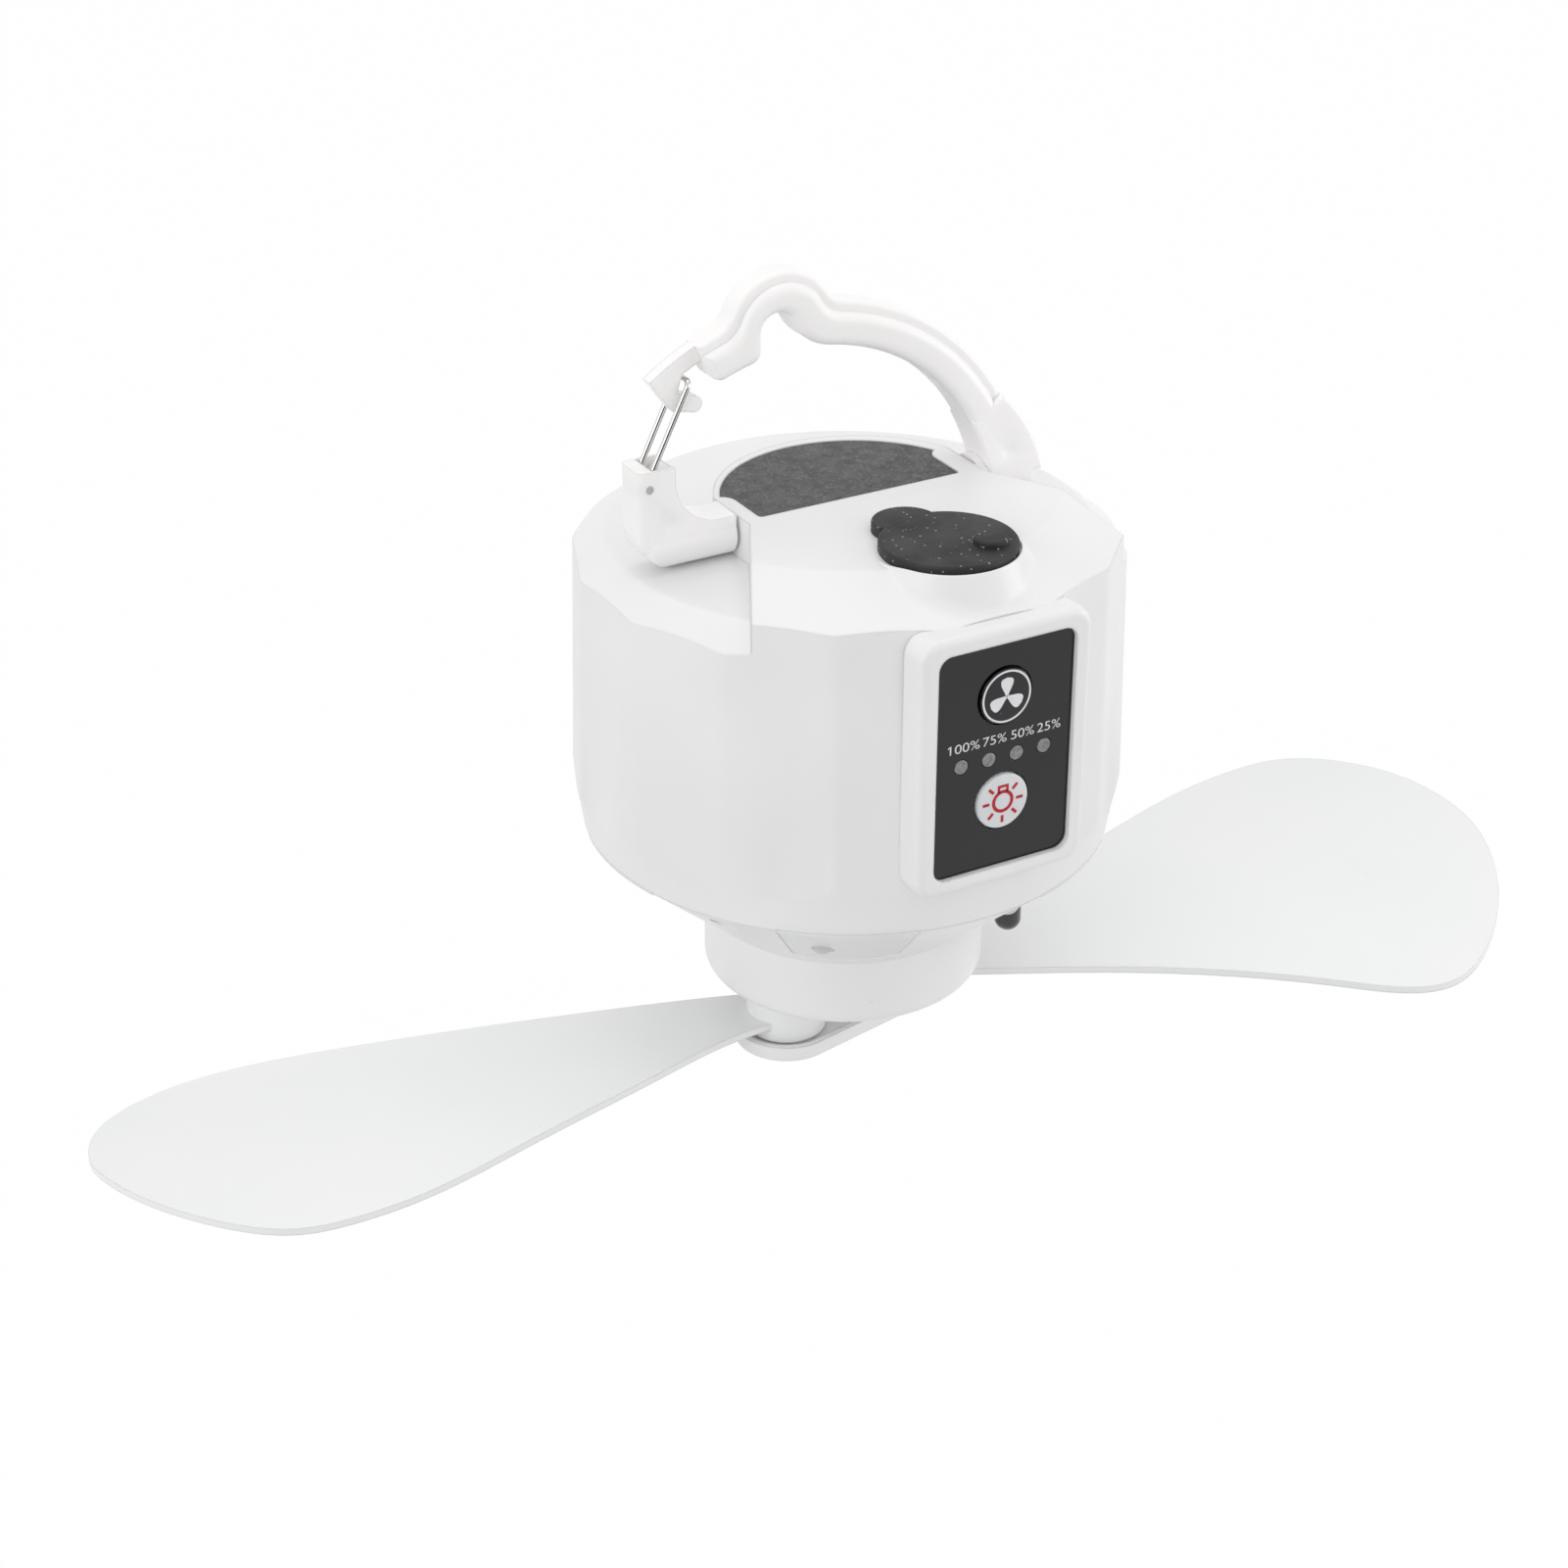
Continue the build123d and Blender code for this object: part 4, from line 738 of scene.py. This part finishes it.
whole = addNode(screwTree, "GeometryNodeJoinGeometry", (400, 0))
for part in (shank, collar, cut.outputs["Mesh"]):
    feed(whole, {0: part})
sockets = {"Points": given["Geometry"], "Instance": whole.outputs[0]}
setOut = addNode(screwTree, "GeometryNodeInstanceOnPoints", (550, 0), sockets)
closeShape(screwTree, given, setOut.outputs["Instances"], leave)


def grow(piece, tree, values):
    # run a geometry group on a piece and keep what it makes
    modifier = piece.modifiers.new("grow", "NODES")
    modifier.node_group = tree
    for item in tree.interface.items_tree:
        if item.item_type == "SOCKET" and item.in_out == "INPUT" and item.name in values:
            modifier[item.identifier] = values[item.name]
    mesh = finalMesh(piece)
    piece.modifiers.clear()
    piece.data = mesh
    return mesh


def screwRow(name, body, replaced, sizes):
    points = []
    for node in replaced:
        low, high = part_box(node)
        points.append(((low.x + high.x) / 2, (low.y + high.y) / 2, low.z))
        length = high.z - low.z - sizes["Head Height"]
    mesh = bpy.data.meshes.new(name)
    mesh.from_pydata(points, [], [])
    piece = newPiece(name, mesh, screwSteel)
    mesh = grow(piece, screwTree, {**sizes, "Shank Length": length, "Material": screwSteel})
    mesh.set_sharp_from_angle(angle=math.radians(screwShape["crease"]))
    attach(piece, body)
    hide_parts(*replaced)


housingScrews = {
    "Head Radius": 0.0024,
    "Head Height": 0.0015,
    "Shank Radius": 0.0014,
    "Recess Length": 0.0027,
    "Recess Width": 0.00065,
    "Recess Depth": 0.0006,
}
motorScrews = {
    "Head Radius": 0.0025,
    "Head Height": 0.0014,
    "Shank Radius": 0.0013,
    "Recess Length": 0.0028,
    "Recess Width": 0.0007,
    "Recess Depth": 0.0006,
}
pivotScrews = {
    "Head Radius": 0.0036,
    "Head Height": 0.0011,
    "Shank Radius": 0.002,
    "Recess Length": 0.0038,
    "Recess Width": 0.0009,
    "Recess Depth": 0.00045,
}
screwRow("housing_screws", "housing", ["housing_screw_%d" % i for i in (1, 2, 3)], housingScrews)
screwRow("motor_screws", "housing", ["motor_screw_1", "motor_screw_2"], motorScrews)
screwRow("pivot_screws", "rotor", ["pivot_pin_a", "pivot_pin_b"], pivotScrews)
print("screws set")

# socket tongue with its two rows of contacts
contactTree, given, leave = startShape(
    "contactRows",
    [
        ("Middle", "Vector", None),
        ("Per Row", "Int", 6),
        ("Row Length", "Float", 0.005),
        ("Row Gap", "Float", 0.0008),
        ("Width", "Float", 0.0005),
        ("Length", "Float", 0.0036),
        ("Thickness", "Float", 0.0001),
    ],
)
rowGrid = addNode(contactTree, "GeometryNodeMeshGrid", (-500, 200), {"Vertices Y": 2})
feed(rowGrid, {"Vertices X": given["Per Row"], "Size X": given["Row Length"], "Size Y": given["Row Gap"]})
sockets = {"Geometry": rowGrid.outputs["Mesh"], "Translation": given["Middle"]}
placed = addNode(contactTree, "GeometryNodeTransform", (-250, 200), sockets)
sockets = {"Vertices": 12, "Radius": 0.5, "Depth": 1.0}
strip = addNode(contactTree, "GeometryNodeMeshCylinder", (-500, -200), sockets)
sockets = {"X": given["Width"], "Y": given["Thickness"], "Z": given["Length"]}
stripSize = addNode(contactTree, "ShaderNodeCombineXYZ", (-500, -450), sockets)
setRows = addNode(contactTree, "GeometryNodeInstanceOnPoints", (100, 0), {"Scale": stripSize.outputs[0]})
feed(setRows, {"Points": placed.outputs["Geometry"], "Instance": strip.outputs["Mesh"]})
closeShape(contactTree, given, setRows.outputs["Instances"], leave)

socketTongue = {"wide": 0.00676, "thick": 0.00076, "sink": 0.00077, "long": 0.0052, "ease": 0.00012}
socketLow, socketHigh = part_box("usb_socket")
socketMid = (socketLow + socketHigh) / 2
work = bmesh.new()
bmesh.ops.create_cube(work, size=1.0)
for vert in work.verts:
    vert.co.x = socketMid.x + vert.co.x * socketTongue["wide"]
    vert.co.y = socketMid.y + vert.co.y * socketTongue["thick"]
    vert.co.z = socketHigh.z - socketTongue["sink"] + (vert.co.z - 0.5) * socketTongue["long"]
eased = work.edges[:]
bmesh.ops.bevel(work, geom=eased, offset=socketTongue["ease"], segments=2, affect="EDGES", profile=0.5)
piece = newPiece("socket_tongue", meshOf(work, "socket_tongue"), switchBlack)
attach(piece, "housing")

socketContacts = {
    "Per Row": 6,
    "Row Length": 0.0048,
    "Row Gap": socketTongue["thick"],
    "Width": 0.0005,
    "Length": 0.0036,
    "Thickness": 0.00012,
}
contactDepth = 0.0024  # tongue's end to the middle of a contact
piece = newPiece("socket_contacts", bpy.data.meshes.new("socket_contacts"), contactGold)
contactMid = (socketMid.x, socketMid.y, socketHigh.z - socketTongue["sink"] - contactDepth)
grow(piece, contactTree, {**socketContacts, "Middle": contactMid, "Material": contactGold})
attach(piece, "housing")
print("charging socket finished")

# copies of one flat sign turned about the middle of a button
radialTree, given, leave = startShape(
    "turnedCopies",
    [
        ("Count", "Int", 3),
        ("First Angle", "Float", 0.0),
        ("Step Angle", "Float", 2.0944),
        ("Middle", "Vector", None),
    ],
)
sockets = {"Offset": (0.0, 0.0, 0.0), "Count": given["Count"], "Start Location": given["Middle"]}
spots = addNode(radialTree, "GeometryNodeMeshLine", (-500, 200), sockets, mode="OFFSET")
number = addNode(radialTree, "GeometryNodeInputIndex", (-700, -200)).outputs[0]
turned = mathNode(radialTree, "MULTIPLY", (-500, -200), number, given["Step Angle"])
turned = mathNode(radialTree, "ADD", (-300, -200), turned, given["First Angle"])
spin = addNode(radialTree, "ShaderNodeCombineXYZ", (-100, -200), {"Y": turned})
copies = addNode(radialTree, "GeometryNodeInstanceOnPoints", (100, 0), {"Rotation": spin.outputs[0]})
feed(copies, {"Points": spots.outputs["Mesh"], "Instance": given["Geometry"]})
closeShape(radialTree, given, copies.outputs["Instances"], leave)


def flatSign(outlines, thick):
    # prints drawn in the XZ plane, millimetres in, with a little body towards -Y
    work = bmesh.new()
    for outline in outlines:
        base = [work.verts.new((x / 1000, 0.0, z / 1000)) for x, z in outline]
        top = [work.verts.new((x / 1000, -thick, z / 1000)) for x, z in outline]
        work.faces.new(base)
        work.faces.new(top)
        for i in range(len(base)):
            j = (i + 1) % len(base)
            work.faces.new((base[i], base[j], top[j], top[i]))
    return meshOf(work, "sign")


def ringSign(sign):
    # a flat ring in the XZ plane
    outer, innerR, steps, thick = (sign[k] for k in ("ringOuter", "ringInner", "ringSteps", "thick"))
    work = bmesh.new()
    loops = []
    for radius, y in ((outer, 0.0), (outer, -thick), (innerR, -thick), (innerR, 0.0)):
        loop = []
        for i in range(steps):
            a = 2 * math.pi * i / steps
            loop.append(work.verts.new((radius / 1000 * math.cos(a), y, radius / 1000 * math.sin(a))))
        loops.append(loop)
    for k in range(4):
        first, second = loops[k], loops[(k + 1) % 4]
        for i in range(steps):
            j = (i + 1) % steps
            work.faces.new((first[i], first[j], second[j], second[i]))
    return meshOf(work, "ring")


def turnedPiece(mesh, middle, count, first, step, material):
    piece = newPiece("sign", mesh, material)
    values = {
        "Count": count,
        "First Angle": math.radians(first),
        "Step Angle": math.radians(step),
        "Middle": tuple(middle),
        "Material": material,
    }
    grow(piece, radialTree, values)
    return piece


def joined(name, pieces, material):
    # several meshes made one, each with its place in the mesh
    work = bmesh.new()
    for piece in pieces:
        piece.data.transform(piece.matrix_world)
        work.from_mesh(piece.data)
        bpy.data.objects.remove(piece)
    mesh = bpy.data.meshes.new(name)
    work.to_mesh(mesh)
    work.free()
    return newPiece(name, mesh, material)


def capMiddle(node):
    low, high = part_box(node)
    return Vector(((low.x + high.x) / 2, low.y, (low.z + high.z) / 2))


# three rounded lobes in a ring, millimetres
fanSign = {
    "ringOuter": 5.32,
    "ringInner": 4.94,
    "ringSteps": 96,
    "lobeLong": 3.85,
    "lobeWide": 1.38,
    "lobeNeck": 0.24,
    "lobeSteps": 16,
    "widest": 0.8,
    "tipFrom": 0.72,
    "fullness": 1.5,
    "tipPower": 3,
    "step": 120,
    "thick": 0.00006,
}
sides = []
for i in range(fanSign["lobeSteps"] + 1):
    along = i / fanSign["lobeSteps"]
    spread = math.sin(math.pi / 2 * min(along / fanSign["widest"], 1)) ** fanSign["fullness"]
    halfWide = fanSign["lobeNeck"] + (fanSign["lobeWide"] - fanSign["lobeNeck"]) * spread
    past = max(0.0, (along - fanSign["tipFrom"]) / (1 - fanSign["tipFrom"]))
    tip = math.sqrt(max(0.0, 1 - past ** fanSign["tipPower"]))
    sides.append((halfWide * tip, fanSign["lobeLong"] * along))
lobe = sides[:-1] + [(0.0, fanSign["lobeLong"])] + [(-x, z) for x, z in reversed(sides[:-1])]
middle = capMiddle("fan_button")
ring = newPiece("ring", ringSign(fanSign), printWhite)
ring.data.transform(Matrix.Translation(middle))
lobes = turnedPiece(flatSign([lobe], fanSign["thick"]), middle, 3, 0, fanSign["step"], printWhite)
piece = joined("fan_sign", [ring, lobes], printWhite)
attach(piece, "fan_button")

# a bulb with its cap and seven rays, millimetres
bulbSign = {
    "ringOuter": 2.36,
    "ringInner": 1.7,
    "ringSteps": 72,
    "rayNear": 2.98,
    "rayFar": 4.42,
    "rayHalf": 0.29,
    "capWide": 1.2,
    "capLine": 0.54,
    "capTop": 3.45,
    "capLap": 0.12,
    "step": 45,
    "thick": 0.00006,
}
middle = capMiddle("light_button")
ring = newPiece("ring", ringSign(bulbSign), printRed)
ring.data.transform(Matrix.Translation(middle))
w, t, top = bulbSign["capWide"], bulbSign["capLine"], bulbSign["capTop"]
low = math.sqrt(bulbSign["ringOuter"] ** 2 - w**2) - bulbSign["capLap"]
strokes = [
    [(-w, low), (-w + t, low), (-w + t, top), (-w, top)],
    [(w - t, low), (w, low), (w, top), (w - t, top)],
    [(-w + t, top - t), (w - t, top - t), (w - t, top), (-w + t, top)],
]
capStrokes = newPiece("cap", flatSign(strokes, bulbSign["thick"]), printRed)
capStrokes.data.transform(Matrix.Translation(middle))
near, far, half = bulbSign["rayNear"], bulbSign["rayFar"], bulbSign["rayHalf"]
ray = [(-half, near), (half, near), (half, far), (-half, far)]
step = bulbSign["step"]
rays = turnedPiece(flatSign([ray], bulbSign["thick"]), middle, 7, step, step, printRed)
piece = joined("bulb_sign", [ring, capStrokes, rays], printRed)
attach(piece, "light_button")
print("button signs printed")

# charge numbers over the indicators: left end and width of each, from the panel's middle
numerals = {
    "100%": (-11.75, 6.55),
    "75%": (-4.5, 5.2),
    "50%": (1.7, 5.1),
    "25%": (7.5, 5.2),
}
numeralPlace = {
    "tall": 0.0019,
    "above": 0.0030,
    "thick": 0.00004,
    "slim": -0.004,
    "weld": 0.0000005,
}
leadIn = [(0.02, 0.0), (0.02, -0.28), (-0.4, -0.58), (-0.4, -0.33)]  # stroke into the figure one
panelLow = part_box("control_panel")[0]
ledLow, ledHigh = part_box("indicator_1")
ledZ = (ledLow.z + ledHigh.z) / 2
words = []
for word, (left, wide) in numerals.items():
    curve = bpy.data.curves.new("numeral", "FONT")
    curve.body = word
    curve.offset = numeralPlace["slim"]
    text = setDown("numeral", curve)
    mesh = finalMesh(text)
    bpy.data.objects.remove(text)
    xs = [v.co.x for v in mesh.vertices]
    ys = [v.co.y for v in mesh.vertices]
    scaleX = wide / 1000 / (max(xs) - min(xs))
    scaleY = numeralPlace["tall"] / (max(ys) - min(ys))
    for v in mesh.vertices:
        x = deck.x + left / 1000 + (v.co.x - min(xs)) * scaleX
        z = ledZ + numeralPlace["above"] + (v.co.y - min(ys)) * scaleY
        v.co = (x, panelLow.y - numeralPlace["thick"], z)
    words.append(newPiece("numeral", mesh, printWhite))
    if word.startswith("1"):
        x, z = deck.x + left / 1000, ledZ + numeralPlace["above"] + numeralPlace["tall"]
        mesh = bpy.data.meshes.new("numeral")
        points = [(x + a / 1000, panelLow.y - numeralPlace["thick"], z + b / 1000) for a, b in leadIn]
        mesh.from_pydata(points, [], [(0, 1, 2, 3)])
        words.append(newPiece("numeral", mesh, printWhite))
piece = joined("charge_numbers", words, printWhite)
work = bmesh.new()
work.from_mesh(piece.data)
bmesh.ops.remove_doubles(work, verts=work.verts, dist=numeralPlace["weld"])
for face in work.faces:
    if face.normal.y > 0:
        face.normal_flip()
lift = bmesh.ops.extrude_face_region(work, geom=work.faces[:])
for item in lift["geom"]:
    if isinstance(item, bmesh.types.BMVert):
        item.co.y += numeralPlace["thick"]
bmesh.ops.recalc_face_normals(work, faces=work.faces)
work.to_mesh(piece.data)
work.free()
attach(piece, "housing")
print("charge numbers printed")

# floor, world and lamps
studio = {
    "floorDrop": 0.32,
    "floorReach": 60.0,
    "floorGrey": 0.68,
    "floorWhite": 0.99,
    "worldLevel": 0.735,
    "paperRough": 0.9,
}
pureWhite = (1.0, 1.0, 1.0, 1.0)


def paperOf(name, level):
    # plain matt paper of one grey
    paper = bpy.data.materials.new(name)
    paper.use_nodes = True
    shader = paper.node_tree.nodes["Principled BSDF"]
    feed(shader, {"Base Color": (level, level, level, 1.0), "Roughness": studio["paperRough"]})
    return paper, shader


def seenRays(tree):
    # rays that show the background: straight ones, mirrored ones and those through glass
    path = addNode(tree, "ShaderNodeLightPath", (-600, 200)).outputs
    first = mathNode(tree, "MAXIMUM", (-350, 200), path["Is Camera Ray"], path["Is Glossy Ray"])
    return mathNode(tree, "MAXIMUM", (-180, 200), first, path["Is Transmission Ray"])


reach, floorZ = studio["floorReach"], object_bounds()[0][2] - studio["floorDrop"]
floorMesh = bpy.data.meshes.new("floor")
floorMesh.from_pydata(
    [(-reach, -reach, floorZ), (reach, -reach, floorZ), (reach, reach, floorZ), (-reach, reach, floorZ)],
    [],
    [(0, 1, 2, 3)],
)
floor = setDown("floor", floorMesh)
floorPaper, paper = paperOf("floorPaper", studio["floorGrey"])
tree = floorPaper.node_tree
feed(paper, {"Specular IOR Level": 0.0})
glow = addNode(tree, "ShaderNodeEmission", (0, -200), {"Color": pureWhite, "Strength": 1.0})
share = mathNode(tree, "MULTIPLY", (0, 200), seenRays(tree), studio["floorWhite"])
sockets = {0: share, 1: paper.outputs[0], 2: glow.outputs[0]}
blend = addNode(tree, "ShaderNodeMixShader", (250, 0), sockets)
feed(tree.nodes["Material Output"], {"Surface": blend.outputs[0]})
floorMesh.materials.append(floorPaper)

# dark screen behind the camera, seen only as a streak in bright metal
shadeCard = {"away": 1.5, "low": -0.45, "high": 0.4, "from": -85.0, "to": 2.0, "steps": 24, "level": 0.05}
cardPoints, cardFaces = [], []
for i in range(shadeCard["steps"] + 1):
    a = math.radians(shadeCard["from"] + (shadeCard["to"] - shadeCard["from"]) * i / shadeCard["steps"])
    x, y = deck.x + shadeCard["away"] * math.sin(a), -shadeCard["away"] * math.cos(a)
    cardPoints += [(x, y, deck.z + h) for h in (shadeCard["low"], shadeCard["high"])]
    if i:
        cardFaces.append((2 * i - 2, 2 * i - 1, 2 * i + 1, 2 * i))
cardMesh = bpy.data.meshes.new("shadeCard")
cardMesh.from_pydata(cardPoints, [], cardFaces)
cardMesh.materials.append(paperOf("cardPaper", shadeCard["level"])[0])
card = setDown("shadeCard", cardMesh)
card.visible_camera = False
card.visible_diffuse = False
card.visible_shadow = False
card.visible_transmission = False

# white to look at, a softer white to light with
world = bpy.data.worlds.new("studioWorld")
scene.world = world
world.use_nodes = True
tree = world.node_tree
tree.nodes.clear()
white = addNode(tree, "ShaderNodeBackground", (0, 150), {"Color": pureWhite, "Strength": 1.0})
sockets = {"Color": pureWhite, "Strength": studio["worldLevel"]}
fill = addNode(tree, "ShaderNodeBackground", (0, -50), sockets)
sockets = {0: seenRays(tree), 1: fill.outputs[0], 2: white.outputs[0]}
blend = addNode(tree, "ShaderNodeMixShader", (250, 0), sockets)
addNode(tree, "ShaderNodeOutputWorld", (450, 0), {"Surface": blend.outputs[0]})

lamps = {
    "leftBox": {"at": (-1.25, -0.45, 0.3), "size": 0.9, "watts": 4.6},
    "rightBox": {"at": (1.25, -0.55, 0.05), "size": 0.8, "watts": 5.0},
    "topBox": {"at": (0.1, 0.2, 1.3), "size": 1.2, "watts": 4.4},
}
lampAim = 0.04  # below the deck
for name, lamp in lamps.items():
    light = bpy.data.lights.new(name, "AREA")
    light.energy = lamp["watts"]
    light.size = lamp["size"]
    holder = setDown(name, light)
    holder.location = lamp["at"]
    aim = deck - Vector((0, 0, lampAim)) - Vector(lamp["at"])
    holder.rotation_euler = aim.to_track_quat("-Z", "Y").to_euler()
print("studio set")

# camera where the picture was taken from: angles in degrees, distances in metres
shot = {
    "turn": 30.013,
    "rise": 28.009,
    "roll": 0.285,
    "away": 0.675212,
    "aside": (-0.012479, -0.019856),
    "target": (0.0179, 0.0, -0.0824),
    "focal": 77.56,
    "sensor": 36.0,
    "clip": 0.01,
}
turn, rise, roll = (math.radians(shot[k]) for k in ("turn", "rise", "roll"))
back = Vector((-math.sin(turn) * math.cos(rise), -math.cos(turn) * math.cos(rise), math.sin(rise)))
right = Vector((math.cos(turn), -math.sin(turn), 0.0))
up = back.cross(right)
right, up = math.cos(roll) * right + math.sin(roll) * up, -math.sin(roll) * right + math.cos(roll) * up
spot = Vector(shot["target"]) + back * shot["away"] + right * shot["aside"][0] + up * shot["aside"][1]
lens = bpy.data.cameras.new("shotCamera")
lens.lens = shot["focal"]
lens.sensor_width = shot["sensor"]
lens.sensor_fit = "AUTO"
lens.clip_start = shot["clip"]
holder = setDown("shotCamera", lens)
stand = Matrix((right, up, back)).transposed().to_4x4()
stand.translation = spot
holder.matrix_world = stand
scene.camera = holder
scene.view_settings.view_transform = "Standard"
print("camera placed")

bpy.context.view_layer.update()
